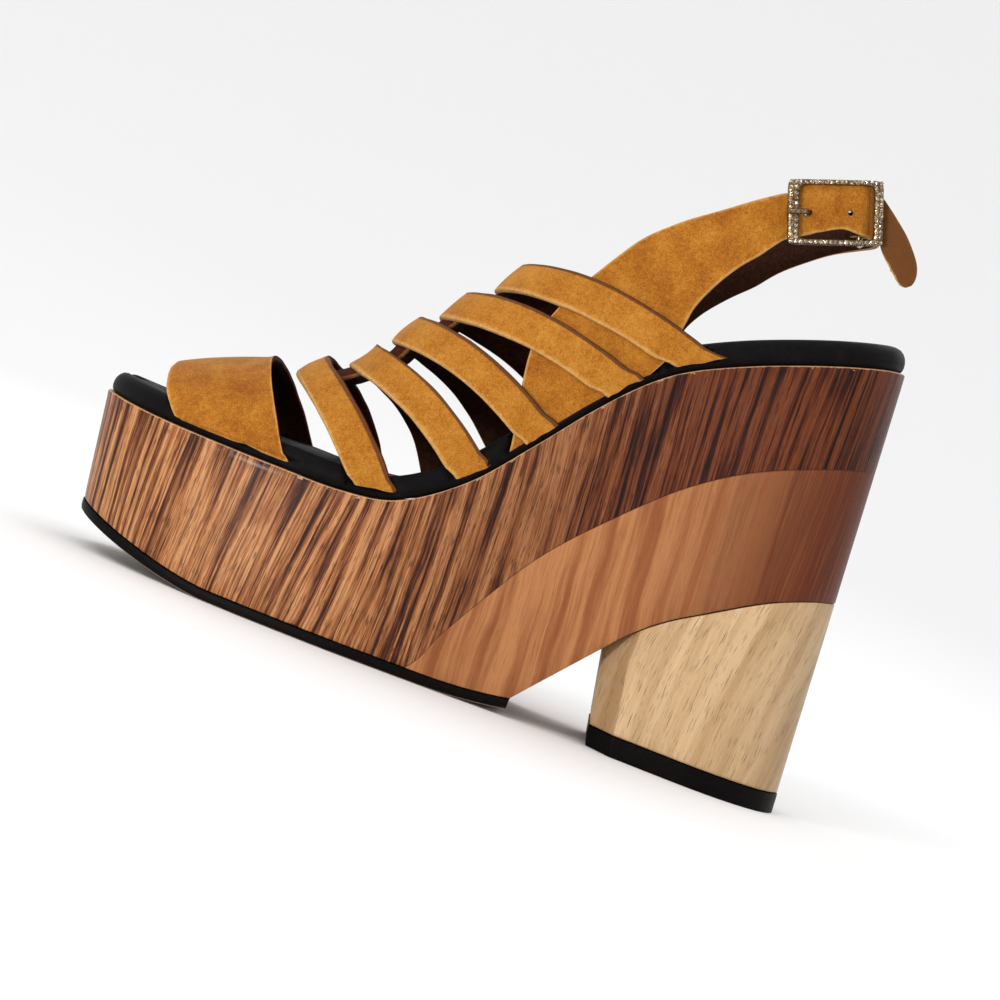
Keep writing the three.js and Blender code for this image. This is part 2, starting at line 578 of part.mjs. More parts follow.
function makeBuckleFrame() {
  const { length, height, depth, left, right, rail, corner } = BUCKLE;
  const [x, y] = [length / 2, height / 2];
  const outline = new THREE.Shape();
  outline.moveTo(-x + corner, -y);
  outline.lineTo(x - corner, -y);
  outline.quadraticCurveTo(x, -y, x, -y + corner);
  outline.lineTo(x, y - corner);
  outline.quadraticCurveTo(x, y, x - corner, y);
  outline.lineTo(-x + corner, y);
  outline.quadraticCurveTo(-x, y, -x, y - corner);
  outline.lineTo(-x, -y + corner);
  outline.quadraticCurveTo(-x, -y, -x + corner, -y);
  const frame = new THREE.ExtrudeGeometry(outline, { depth, bevelEnabled: false, curveSegments: 4 });
  frame.translate(0, 0, -depth / 2);
  const window = buckleBox([-x + left, -y + rail, -depth], [x - right, y - rail, depth]);
  const pin = new THREE.CylinderGeometry(PIN.radius, PIN.radius, height - rail, 16);
  pin.translate(PIN.u, 0, PIN.w);
  const lugs = [-1, 1].map((end) => {
    const edges = [end * (y - rail * 0.9), end * (y - rail * 0.1)].sort((a, b) => a - b);
    return buckleBox([PIN.u - 1.2, edges[0], PIN.w - PIN.radius], [PIN.u + 1.2, edges[1], 0]);
  });
  return toGeometry(join([toSolid(frame).subtract(window), toSolid(pin), ...lugs]));
}

// The prong: a ring on the pin and a shank that comes up through the strap onto the frame's front bar.
function makeProng() {
  const ring = new THREE.Shape();
  ring.absarc(PIN.u, PIN.w, PIN.radius + GAP + PRONG * 0.7, 0, Math.PI * 2);
  const bore = new THREE.Path();
  bore.absarc(PIN.u, PIN.w, PIN.radius + GAP, 0, Math.PI * 2, true);
  ring.holes.push(bore);
  const path = [[PIN.u - 1.5, PIN.w + 0.3], [0, -5.2], [-6.6, -4.2], [-8.4, 0.9], [-9.4, 2.2], [-13.4, 2.2]];
  const solids = [ring, stroke(path, PRONG)].map((shape) => {
    const flat = new THREE.ExtrudeGeometry(shape, { depth: PRONG, bevelEnabled: false, curveSegments: 10 });
    flat.translate(0, 0, -PRONG / 2);
    flat.rotateX(Math.PI / 2);
    flat.scale(1, -1, 1);
    return toSolid(facingOut(mergeVertices(flatCopy(flat), 1e-4)));
  });
  return toGeometry(join(solids));
}

function flatCopy(geometry) {
  const copy = geometry.clone();
  copy.deleteAttribute('normal');
  copy.deleteAttribute('uv');
  return copy;
}

// Outline of a bent bar of even width along a line.
function stroke(line, width) {
  const points = line.map(([x, y]) => new THREE.Vector2(x, y));
  const sides = [1, -1].map((side) => points.map((point, i) => {
    const before = points[Math.max(i - 1, 0)];
    const after = points[Math.min(i + 1, points.length - 1)];
    const a = point.clone().sub(before).normalize();
    const b = after.clone().sub(point).normalize();
    const direction = a.add(b).normalize();
    const normal = new THREE.Vector2(-direction.y, direction.x);
    return point.clone().addScaledVector(normal, side * width / 2);
  }));
  return new THREE.Shape([...sides[0], ...sides[1].reverse()]);
}

// ---------------------------------------------------------------- upper
// Rows of the outer quarter go on through the buckle.
function outerQuarterRows() {
  const through = STRAP_END.map(({ frontU, frontV, rearU, rearV, w }) => {
    const front = fromBuckle(frontU, frontV, w);
    const rear = fromBuckle(rearU, rearV, w);
    return { frontX: front.x, frontZ: front.z, frontY: -front.y, rearX: rear.x, rearZ: rear.z, rearY: -rear.y };
  });
  return [...QUARTER_OUTER, ...through];
}

// Rows of the inner quarter go on round the heel and end in a loop round the pin.
function innerQuarterRows() {
  const radius = PIN.radius + GAP + QUARTER_WALL;
  const loop = [-90, -45, 0, 45, 90, 110].map((degrees) => {
    const angle = THREE.MathUtils.degToRad(degrees);
    const u = PIN.u - Math.cos(angle) * radius;
    const w = PIN.w + Math.sin(angle) * radius;
    const front = fromBuckle(u, LOOP_HALF, w);
    const rear = fromBuckle(u, -LOOP_HALF, w);
    return { frontX: front.x, frontZ: front.z, frontY: front.y, rearX: rear.x, rearZ: rear.z, rearY: rear.y };
  });
  return [...QUARTER_INNER, ...loop];
}

function makeOuterQuarter() {
  const holes = HOLES.map((u) => {
    const box = buckleBox([u - HOLE.u / 2, -HOLE.v / 2, -5], [u + HOLE.u / 2, HOLE.v / 2, 1]);
    return box.transform(buckleFrame.elements);
  });
  const quarter = toSolid(makeQuarter(outerQuarterRows(), 'lateral', 3));
  return quarter.subtract(join(holes));
}

function makeInnerQuarter() {
  const slot = buckleBox([PIN.u - 6, -PRONG, PIN.w - 5], [PIN.u + 3.4, PRONG, PIN.w + 4]);
  const quarter = toSolid(makeQuarter(innerQuarterRows(), 'medial', 3));
  return quarter.subtract(slot.transform(buckleFrame.elements));
}

function makeUpper() {
  const straps = STRAPS.map((strap) => toSolid(makeStrap(strap)));
  return toGeometry(join([makeOuterQuarter(), makeInnerQuarter(), toSolid(makeInstepStrip()), ...straps]));
}

// The insole is notched where the straps and quarters go down past its edge.
function makeNotchedInsole() {
  const cutters = [
    ...STRAPS.map((strap) => makeStrap(strap, GAP)),
    makeToeStrap(GAP),
    makeQuarter(QUARTER_OUTER, 'lateral', 3, GAP),
    makeQuarter(QUARTER_INNER, 'medial', 3, GAP),
  ];
  const notched = toSolid(makeInsole()).subtract(join(cutters.map(toSolid)));
  const bodies = notched.decompose().sort((a, b) => b.volume() - a.volume());
  return toGeometry(bodies[0]);
}

function piece(name, geometry, material) {
  const mesh = new THREE.Mesh(geometry, material);
  mesh.name = name;
  return mesh;
}

const sandal = new THREE.Group();
sandal.add(piece('platform', makePlatform(), MATERIALS.zebrano));
sandal.add(piece('outsole', makeOutsole(), MATERIALS.rubber));
sandal.add(piece('heel_block', makeHeelSlice((x) => jointAt(x) - GAP, TOP_LIFT + GAP), MATERIALS.oak));
sandal.add(piece('heel_top_lift', makeHeelSlice(() => TOP_LIFT, 0), MATERIALS.rubber));
sandal.add(piece('insole', makeNotchedInsole(), MATERIALS.leather));
sandal.add(piece('toe_strap', makeToeStrap(), MATERIALS.suede));
sandal.add(piece('upper', makeUpper(), MATERIALS.suede));

const buckle = new THREE.Group();
buckle.applyMatrix4(buckleFrame);
buckle.add(piece('buckle_frame', makeBuckleFrame(), MATERIALS.gold));
buckle.add(piece('buckle_prong', makeProng(), MATERIALS.gold));
sandal.add(buckle);

export default sandal;
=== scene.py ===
"""Looks of a platform sandal, left shoe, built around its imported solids.

Metres in the scene, millimetres in the tables. +X runs from toe to heel, -Y is the outer side,
+Z is up and the floor is z = 0.
"""
from __future__ import annotations

import logging
import math
import random
from dataclasses import dataclass
from enum import Enum
from typing import Callable, Mapping, Sequence

import bpy
from mathutils import Matrix, Vector, noise

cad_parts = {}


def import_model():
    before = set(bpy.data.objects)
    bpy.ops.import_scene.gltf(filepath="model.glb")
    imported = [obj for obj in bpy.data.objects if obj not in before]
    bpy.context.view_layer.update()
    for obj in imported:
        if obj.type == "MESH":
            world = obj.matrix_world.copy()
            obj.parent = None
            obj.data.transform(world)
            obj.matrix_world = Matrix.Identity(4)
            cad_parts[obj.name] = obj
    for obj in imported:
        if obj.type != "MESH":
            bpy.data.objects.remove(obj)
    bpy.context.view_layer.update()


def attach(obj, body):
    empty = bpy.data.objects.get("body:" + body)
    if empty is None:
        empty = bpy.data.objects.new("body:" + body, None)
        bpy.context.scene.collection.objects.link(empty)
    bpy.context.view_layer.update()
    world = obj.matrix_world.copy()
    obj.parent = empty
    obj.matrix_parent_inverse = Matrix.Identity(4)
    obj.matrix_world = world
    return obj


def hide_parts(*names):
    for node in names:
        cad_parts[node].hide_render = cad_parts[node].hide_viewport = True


LOG = logging.getLogger("sandal")
MM = 0.001
BODY = "root"
Colour = tuple[float, float, float]
Place = Callable[[int, int, int], tuple[Vector, Vector]]


class Side(Enum):
    """A side of the left shoe."""

    LATERAL = -1
    MEDIAL = 1


class Face(Enum):
    """A side of a block before it is laid in its place."""

    INNER = 0
    OUTER = 1
    START = 2
    END = 3
    FRONT = 4
    REAR = 5


# ------------------------------------------------------------------------------- the form
class Curve:
    """Smooth curve through a table's rows of place and value."""

    def __init__(self, rows: Sequence[tuple[float, float]]) -> None:
        """Keeps the rows and their slopes.

        Args:
            rows: Place and value, with the places rising.
        """
        self.rows = list(rows)
        last = len(self.rows) - 1
        self.slopes = []
        for i in range(last + 1):
            before, after = self.rows[max(i - 1, 0)], self.rows[min(i + 1, last)]
            self.slopes.append((after[1] - before[1]) / (after[0] - before[0]))

    def __call__(self, place: float) -> float:
        """Value of the curve at a place."""
        i = 0
        while i < len(self.rows) - 2 and place > self.rows[i + 1][0]:
            i += 1
        (start, low), (end, high) = self.rows[i], self.rows[i + 1]
        span, rise = end - start, high - low
        t = min(max((place - start) / span, 0.0), 1.0)
        a = self.slopes[i] * span - rise
        b = rise - self.slopes[i + 1] * span
        return low + rise * t + t * (1 - t) * (a * (1 - t) + b * t)


TOP = Curve([
    (-118, 46.6), (-100, 45.0), (-80, 44.4), (-55, 44.3), (-36, 44.6), (-20, 47.8), (-3, 60.0),
    (11.5, 77.4), (22, 91.0), (33, 103.4), (43, 111.6), (59, 119.8), (77, 127.0), (98, 134.2), (107, 136.6),
])
HEEL_JOINT = Curve([
    (49, 27.4), (55.6, 35.0), (64, 42.4), (73, 48.3), (89.6, 58.2), (102.8, 63.4), (111, 65.2),
])
BAND_JOINT = Curve([
    (-8, -6.0), (-1.6, 3.3), (5.8, 17.0), (16.6, 36.0), (24.9, 48.7), (38.2, 63.7), (54.2, 79.5),
    (70.4, 91.0), (88, 99.2), (104.5, 104.9), (116, 107.0),
])
OUTLINE = {
    Side.LATERAL: Curve([
        (0, 36.0), (0.15, 38.5), (0.28, 41.0), (0.38, 41.5), (0.5, 38.0), (0.62, 33.5), (0.75, 31.5),
        (0.88, 32.0), (1.0, 32.0),
    ]),
    Side.MEDIAL: Curve([
        (0, 40.0), (0.15, 41.5), (0.28, 42.0), (0.38, 40.0), (0.5, 33.5), (0.62, 29.0), (0.75, 30.0),
        (0.88, 32.0), (1.0, 32.0),
    ]),
}
RIB_FOOT = Curve([
    (0, -90), (1, -53), (2, -27.4), (3, -2.4), (4, 10.6), (5, 28.2), (6, 45.4), (7, 62), (8, 80),
])
RIB_CREST = Curve([
    (0, -102.2), (1, -71.6), (2, -61.4), (3, -45.4), (4, -37.4), (5, -26.6), (6, -14.6), (7, 0), (8, 14),
])
RIB_CREST_HEIGHT = Curve([
    (0, 59.2), (1, 70.9), (2, 72.6), (3, 82.2), (4, 93.2), (5, 104.8), (6, 118.0), (7, 134), (8, 156),
])
RIB_BOW = Curve([(0, 0), (1, 0), (2, 2.5), (3, 4), (4, 4), (5, 4), (6, 4), (7, 3), (8, 2)])


@dataclass(frozen=True)
class ShoeForm:
    """Outline of the sole and the last that the straps are drawn over, in millimetres."""

    toe_tip_top: float = -116.2
    toe_undercut: float = 0.145
    heel_tip_top: float = 105.5
    heel_flare: float = 0.0745
    heel_joint_rear: float = 65.0
    toe_length: float = 0.30
    heel_length: float = 0.15
    toe_power: float = 2.4
    heel_power: float = 2.1
    taper: float = 0.0011
    outsole: float = 3.0
    gap: float = 0.3
    foot_gap: float = 0.8
    outsole_end: float = 30.3
    flat_start: float = -63.0
    flat_end: float = 5.0
    toe_spring: float = 12.0
    rear_rise: float = 2.2
    last_inset: float = 3.2
    arch_power: float = 2.3
    heel_front_top: float = 50.4
    heel_front_foot: float = 56.2
    heel_front_half: float = 20.0

    def toe_tip(self, z: float) -> float:
        """Front end of the body at a height."""
        return self.toe_tip_top + self.toe_undercut * max(TOP(self.toe_tip_top) - z, 0)

    def heel_tip(self, z: float) -> float:
        """Rear end of the heel at a height."""
        return self.heel_tip_top + self.heel_flare * (TOP(self.heel_tip_top) - z)

    def share(self, x: float, z: float) -> float:
        """Share of the length from toe to heel at a point of the side view."""
        toe = self.toe_tip(z)
        return (x - toe) / (self.heel_tip(z) - toe)

    def half_width(self, x: float, z: float, side: Side) -> float:
        """Half width of the body or heel at a point of the side view."""
        share = self.share(x, z)
        nose = min(max(1 - share / self.toe_length, 0), 1)
        back = min(max((share - 1 + self.heel_length) / self.heel_length, 0), 1)
        toe_round = (1 - nose ** self.toe_power) ** (1 / self.toe_power)
        heel_round = (1 - back ** self.heel_power) ** (1 / self.heel_power)
        slim = 1 - self.taper * max(TOP(x) - z, 0)
        return OUTLINE[side](share) * toe_round * heel_round * slim

    def edge_normal(self, x: float, z: float) -> tuple[float, float]:
        """Outward normal of the outline in plan, as its parts along the shoe and across it."""
        share = self.share(x, z)
        length = self.heel_tip(z) - self.toe_tip(z)
        width = 38.0
        nose = min(max(1 - share / self.toe_length, 0), 1)
        back = min(max((share - 1 + self.heel_length) / self.heel_length, 0), 1)
        if nose > 0:
            across = (1 - nose ** self.toe_power) ** (1 - 1 / self.toe_power) / width
            forward = -(nose ** (self.toe_power - 1)) / (self.toe_length * length)
        else:
            across = (1 - back ** self.heel_power) ** (1 - 1 / self.heel_power) / width
            forward = back ** (self.heel_power - 1) / (self.heel_length * length)
        size = math.hypot(across, forward)
        return forward / size, across / size

    def edge(self, x: float, z: float, side: Side, inset: float) -> tuple[float, float]:
        """Point of the outline, moved inwards.

        Args:
            x: Place along the shoe.
            z: Height.
            side: Which side of the shoe.
            inset: Distance that the point lies inside the outline.

        Returns:
            Place along the shoe and signed distance from its middle.
        """
        forward, across = self.edge_normal(x, z)
        half = max(self.half_width(x, z, side), 0.0)
        return x - forward * inset, side.value * max(half - across * inset, 0.0)

    def sole_at(self, x: float) -> float:
        """Height of the outsole's underside."""
        if x < self.flat_start:
            return self.toe_spring * ((self.flat_start - x) / (self.flat_start - self.toe_tip_top)) ** 1.5
        if x > self.flat_end:
            return self.rear_rise * ((x - self.flat_end) / (self.outsole_end - self.flat_end)) ** 2
        return 0.0

    def underside_at(self, x: float) -> float:
        """Height of the wooden body's underside: over the outsole, up the shank, along the heel."""
        if x <= self.outsole_end:
            return self.sole_at(x) + self.outsole + self.gap
        if x >= self.heel_front_top:
            return HEEL_JOINT(x)
        start = self.sole_at(self.outsole_end) + self.outsole + self.gap
        t = (x - self.outsole_end) / (self.heel_front_top - self.outsole_end)
        return start + (HEEL_JOINT(self.heel_front_top) - start) * t

    def last_surface(self, at: float, turn: float) -> Vector:
        """Point of the last: rib, and turn from -1 at the outer edge over 0 at the crest to 1."""
        side = Side.LATERAL if turn < 0 else Side.MEDIAL
        foot = RIB_FOOT(at)
        foot_height = TOP(foot) + self.foot_gap
        angle = turn * math.pi / 2
        up = max(math.cos(angle), 0.0) ** (2 / self.arch_power)
        out = abs(math.sin(angle)) ** (2 / self.arch_power) * side.value
        crest, crest_height = RIB_CREST(at), RIB_CREST_HEIGHT(at)
        lean = math.atan2(crest_height - foot_height, crest - foot)
        bow = RIB_BOW(at) * 4 * up * (1 - up)
        return Vector((
            foot + (crest - foot) * up + math.sin(lean) * bow,
            out * (self.half_width(foot, foot_height, side) - self.last_inset),
            foot_height + (crest_height - foot_height) * up - math.cos(lean) * bow,
        ))

    def last_point(self, at: float, turn: float, lift: float) -> Vector:
        """Point at a height above the last."""
        step = 0.02
        along_rib = self.last_surface(at, min(turn + step, 1)) - self.last_surface(at, max(turn - step, -1))
        along_foot = self.last_surface(at + step, turn) - self.last_surface(at - step, turn)
        return self.last_surface(at, turn) + along_foot.cross(along_rib).normalized() * lift

    def last_half(self, x: float, z: float, side: Side) -> float:
        """Distance of the last from the shoe's middle at a point of the side view."""
        best = (math.inf, 5.0, 0.5)
        step, reach = 0.5, 4
        while step > 0.004:
            centre = best
            for i in range(-reach, reach + 1):
                for j in range(-reach, reach + 1):
                    at = centre[1] + i * step
                    turn = min(max(centre[2] + j * step / 4, 0.0), 1.0)
                    point = self.last_surface(at, side.value * turn)
                    miss = math.hypot(point.x - x, point.z - z)
                    if miss < best[0]:
                        best = (miss, at, turn)
            step, reach = step / 2, 2
        return abs(self.last_surface(best[1], side.value * best[2]).y)

    def ribs_across(self, at: float, turn: float, width: float) -> float:
        """Half of a strap's width, counted in ribs of the last."""
        step = 0.05
        along_rib = self.last_surface(at, min(turn + step, 1)) - self.last_surface(at, max(turn - step, -1))
        along_foot = self.last_surface(at + step, turn) - self.last_surface(at - step, turn)
        along_rib.normalize()
        sideways = (along_foot - along_rib * along_foot.dot(along_rib)).length
        return width / 2 / (sideways / (2 * step))


FORM = ShoeForm()


def rounded_places(start: int, middle: int, end: int) -> list[float]:
    """Shares of the length from toe to heel, close together at the rounded ends.

    Args:
        start: Steps round the toe.
        middle: Steps along the sides.
        end: Steps round the heel.

    Returns:
        The shares, from 0 to 1.
    """
    crowd = 1.35
    places = []
    for i in range(start):
        turn = (i / start) ** crowd * math.pi / 2
        places.append(FORM.toe_length * (1 - math.cos(turn) ** (2 / FORM.toe_power)))
    rear = 1 - FORM.heel_length
    places += [FORM.toe_length + (rear - FORM.toe_length) * i / middle for i in range(middle)]
    for i in range(end, -1, -1):
        turn = (i / end) ** crowd * math.pi / 2
        places.append(1 - FORM.heel_length * (1 - math.cos(turn) ** (2 / FORM.heel_power)))
    return places


def top_slope(x: float) -> float:
    """Angle of the body's top at a place along the shoe."""
    return math.atan2(TOP(x + 0.5) - TOP(x - 0.5), 1)


def smoothstep(low: float, high: float, value: float) -> float:
    """Smooth rise from 0 at low to 1 at high."""
    t = min(max((value - low) / (high - low), 0.0), 1.0)
    return t * t * (3 - 2 * t)


def waver(place: float, seed: float, size: float) -> float:
    """Small uneven shift that a hand-cut edge has."""
    return noise.noise(Vector((place, seed, 0.5))) * size


# ------------------------------------------------------------------------------- the bench
def deselect() -> None:
    """Leaves nothing selected."""
    bpy.ops.object.select_all(action="DESELECT")


def enter_edit(mode: str = "EDGE") -> None:
    """Opens the active mesh in edit mode with nothing selected."""
    bpy.ops.object.mode_set(mode="EDIT")
    bpy.ops.mesh.select_mode(type=mode)
    bpy.ops.mesh.select_all(action="DESELECT")


def leave_edit() -> None:
    """Goes back to object mode."""
    bpy.ops.object.mode_set(mode="OBJECT")


def unit_block(name: str, columns: int, rows: int, layers: int) -> bpy.types.Object:
    """Block from 0 to 1 each way, cut into columns, rows and layers, to be laid in its place.

    Args:
        name: Name of the piece.
        columns: Cuts along the piece.
        rows: Cuts across it.
        layers: Cuts through its thickness.

    Returns:
        The block.
    """
    deselect()
    bpy.ops.mesh.primitive_grid_add(
        x_subdivisions=columns, y_subdivisions=rows, size=1, location=(0.5, 0.5, 0)
    )
    block = bpy.context.object
    block.name = name
    block.data.name = name
    bpy.ops.object.transform_apply(location=True, rotation=True, scale=True)
    bpy.ops.object.mode_set(mode="EDIT")
    bpy.ops.mesh.select_mode(type="FACE")
    bpy.ops.mesh.select_all(action="SELECT")
    bpy.ops.mesh.extrude_region_move(TRANSFORM_OT_translate={"value": (0, 0, 1)})
    leave_edit()
    if layers > 1:
        select_upright_edges(block)
        bpy.ops.mesh.subdivide(number_cuts=layers - 1)
        leave_edit()
    return block


def select_upright_edges(block: bpy.types.Object) -> None:
    """Opens a piece in edit mode with its upright edges selected."""
    enter_edit()
    leave_edit()
    mesh = block.data
    heights = [vertex.co.z for vertex in mesh.vertices]
    for edge in mesh.edges:
        low, high = edge.vertices
        edge.select = abs(heights[low] - heights[high]) > 0.5
    bpy.ops.object.mode_set(mode="EDIT")


def unit_rod(name: str, sides: int, steps: int) -> bpy.types.Object:
    """Round rod of radius 1 from 0 to 1, cut along its length, to be laid along a path."""
    deselect()
    bpy.ops.mesh.primitive_cylinder_add(
        vertices=sides, radius=1, depth=1, end_fill_type="NGON", location=(0, 0, 0.5)
    )
    rod = bpy.context.object
    rod.name = name
    rod.data.name = name
    bpy.ops.object.transform_apply(location=True, rotation=True, scale=True)
    if steps > 1:
        select_upright_edges(rod)
        bpy.ops.mesh.subdivide(number_cuts=steps - 1)
        leave_edit()
    return rod


def lay(
    block: bpy.types.Object, counts: tuple[int, int, int], place: Place, slots: Mapping[Face, int]
) -> None:
    """Lays a unit block in its place, point by point, and gives its sides their materials.

    Args:
        block: The block, from 0 to 1 each way.
        counts: Its columns, rows and layers.
        place: Gives the place in millimetres and the lay of the grain for a column, row and layer.
        slots: Material number for each side of the block, 0 where none is given.
    """
    mesh = block.data
    for face in mesh.polygons:
        face.material_index = slots.get(face_of(face.center), 0)
    grain = mesh.attributes.new("lay", "FLOAT_VECTOR", "POINT")
    for vertex in mesh.vertices:
        i, j, k = (round(vertex.co[axis] * counts[axis]) for axis in range(3))
        point, lie = place(i, j, k)
        vertex.co = point * MM
        grain.data[vertex.index].vector = lie
    mesh.update()


def face_of(centre: Vector) -> Face:
    """Side of a unit block that a face's centre lies on."""
    near = 1e-4
    pairs = ((2, Face.INNER, Face.OUTER), (1, Face.FRONT, Face.REAR), (0, Face.START, Face.END))
    for axis, low, high in pairs:
        if centre[axis] < near:
            return low
        if centre[axis] > 1 - near:
            return high
    return Face.OUTER


def tidy(piece: bpy.types.Object, crease: float = 40.0, merge: float = 0.01) -> None:
    """Merges doubles, turns the faces outwards and shades the piece smooth up to a crease.

    Args:
        piece: The piece.
        crease: Angle in degrees above which an edge stays sharp.
        merge: Distance in millimetres below which points are one.
    """
    deselect()
    bpy.context.view_layer.objects.active = piece
    piece.select_set(True)
    bpy.ops.object.mode_set(mode="EDIT")
    bpy.ops.mesh.select_all(action="SELECT")
    bpy.ops.mesh.remove_doubles(threshold=merge * MM)
    bpy.ops.mesh.normals_make_consistent(inside=False)
    leave_edit()
    bpy.ops.object.shade_smooth_by_angle(angle=math.radians(crease))


def apply_modifier(piece: bpy.types.Object, kind: str, **settings: object) -> None:
    """Adds a modifier to a piece and applies it."""
    deselect()
    bpy.context.view_layer.objects.active = piece
    piece.select_set(True)
    modifier = piece.modifiers.new(kind.title(), kind)
    for name, value in settings.items():
        setattr(modifier, name, value)
    bpy.ops.object.modifier_apply(modifier=modifier.name)


def joined(name: str, pieces: Sequence[bpy.types.Object]) -> bpy.types.Object:
    """Joins pieces into the first and names it."""
    deselect()
    for piece in pieces:
        piece.select_set(True)
    bpy.context.view_layer.objects.active = pieces[0]
    bpy.ops.object.join()
    pieces[0].name = name
    return pieces[0]


def fit(
    piece: bpy.types.Object, materials: Sequence[bpy.types.Material], nodes: Sequence[str]
) -> None:
    """Gives a piece its materials and body, and hides the nodes that it stands for.

    Args:
        piece: The finished piece.
        materials: Its materials, in the order of their numbers.
        nodes: The plain solids that it replaces.
    """
    indices = [face.material_index for face in piece.data.polygons]
    piece.data.materials.clear()
    for material in materials:
        piece.data.materials.append(material)
    for face, index in zip(piece.data.polygons, indices):
        face.material_index = min(index, len(materials) - 1)
    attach(piece, BODY)
    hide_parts(*nodes)
    LOG.info("%s: %d faces", piece.name, len(piece.data.polygons))


# ------------------------------------------------------------------------------- shader nodes
Socket = bpy.types.NodeSocket
Value = object


class Nodes:
    """Adds nodes to a tree and joins them."""

    def __init__(self, tree: bpy.types.NodeTree) -> None:
        """Keeps the tree."""
        self.tree = tree

    def add(
        self, kind: str, values: Mapping[object, Value] | None = None, **settings: Value
    ) -> bpy.types.Node:
        """Adds a node.

        Args:
            kind: The node's type.
            values: Sockets or plain values for its inputs, by name or number.
            **settings: The node's own settings.

        Returns:
            The node.
        """
        node = self.tree.nodes.new(kind)
        for name, value in settings.items():
            setattr(node, name, value)
        for key, value in (values or {}).items():
            self.feed(node.inputs[key], value)
        return node

    def feed(self, socket: Socket, value: Value) -> None:
        """Links a socket to an input, or sets the input's value."""
        if isinstance(value, bpy.types.NodeSocket):
            self.tree.links.new(value, socket)
        elif isinstance(value, tuple) and len(value) == 3 and socket.type == "RGBA":
            socket.default_value = (*value, 1.0)
        else:
            socket.default_value = value

    def math(self, operation: str, *values: Value) -> Socket:
        """Result of a Math node."""
        return self.add("ShaderNodeMath", dict(enumerate(values)), operation=operation).outputs[0]

    def times(self, a: Value, b: Value) -> Socket:
        """Product of two numbers."""
        return self.math("MULTIPLY", a, b)

    def plus(self, a: Value, b: Value) -> Socket:
        """Sum of two numbers."""
        return self.math("ADD", a, b)

    def minus(self, a: Value, b: Value) -> Socket:
        """First number less the second."""
        return self.math("SUBTRACT", a, b)

    def rest(self, value: Value) -> Socket:
        """What a share leaves of 1."""
        return self.math("SUBTRACT", 1.0, value)

    def scaled(self, value: Value, size: Value, start: Value) -> Socket:
        """A number times a size, added to a start."""
        return self.math("MULTIPLY_ADD", value, size, start)

    def swing(self, value: Value, size: Value, start: Value) -> Socket:
        """A number from 0 to 1 that swings by a size about a start."""
        return self.scaled(self.minus(value, 0.5), size, start)

    def sign(self, value: Value, reach: float) -> Socket:
        """Sign of a number, eased within a reach of 0."""
        return self.minus(self.times(self.rise(value, -reach, reach), 2.0), 1.0)

    def mix(self, factor: Value, a: Value, b: Value, blend: str = "MIX") -> Socket:
        """Mix of two colours."""
        node = self.add("ShaderNodeMix", None, data_type="RGBA", blend_type=blend, clamp_factor=True)
        self.feed(node.inputs[0], factor)
        self.feed(node.inputs[6], a)
        self.feed(node.inputs[7], b)
        return node.outputs[2]

    def blend(self, factor: Value, a: Value, b: Value) -> Socket:
        """Mix of two numbers."""
        node = self.add("ShaderNodeMix", None, data_type="FLOAT", clamp_factor=True)
        for number, value in zip((0, 2, 3), (factor, a, b)):
            self.feed(node.inputs[number], value)
        return node.outputs[0]

    def ramp(self, factor: Value, stops: Sequence[tuple[float, Colour]]) -> Socket:
        """Colour of a ramp."""
        node = self.add("ShaderNodeValToRGB", {"Fac": factor})
        elements = node.color_ramp.elements
        while len(elements) < len(stops):
            elements.new(1.0)
        for element, (place, colour) in zip(elements, stops):
            element.position = place
            element.color = (*colour, 1.0)
        return node.outputs["Color"]

    def noise(self, vector: Value, scale: float, detail: float = 2.0, rough: float = 0.5) -> Socket:
        """Strength of a Noise Texture."""
        values = {"Vector": vector, "Scale": scale, "Detail": detail, "Roughness": rough}
        return self.add("ShaderNodeTexNoise", values).outputs[0]

    def rise(self, value: Value, low: Value, high: Value) -> Socket:
        """Smooth rise from 0 at low to 1 at high."""
        values = {"Value": value, "From Min": low, "From Max": high}
        return self.add("ShaderNodeMapRange", values, interpolation_type="SMOOTHSTEP").outputs[0]

    def join(self, x: Value, y: Value, z: Value) -> Socket:
        """Vector of three numbers."""
        return self.add("ShaderNodeCombineXYZ", {0: x, 1: y, 2: z}).outputs[0]

    def split(self, vector: Value) -> tuple[Socket, Socket, Socket]:
        """Three numbers of a vector."""
        node = self.add("ShaderNodeSeparateXYZ", {0: vector})
        return node.outputs[0], node.outputs[1], node.outputs[2]

    def place(self) -> Socket:
        """Object coordinates, in millimetres."""
        spot = self.add("ShaderNodeTexCoord").outputs["Object"]
        return self.add("ShaderNodeVectorMath", {0: spot, 3: 1 / MM}, operation="SCALE").outputs[0]

    def lay(self) -> Socket:
        """Lay of the piece: its own coordinates in millimetres."""
        return self.add("ShaderNodeAttribute", None, attribute_name="lay").outputs["Vector"]

    def bump(self, height: Value, distance: float) -> Socket:
        """Normal from a height; the distance is in millimetres."""
        values = {"Height": height, "Distance": distance * MM, "Strength": 1.0}
        return self.add("ShaderNodeBump", values).outputs[0]

    def group(self, tree: bpy.types.NodeTree, **values: Value) -> bpy.types.Node:
        """Places a node group with its inputs."""
        node = self.add("ShaderNodeGroup", None, node_tree=tree)
        for name, value in values.items():
            self.feed(node.inputs[name], value)
        return node


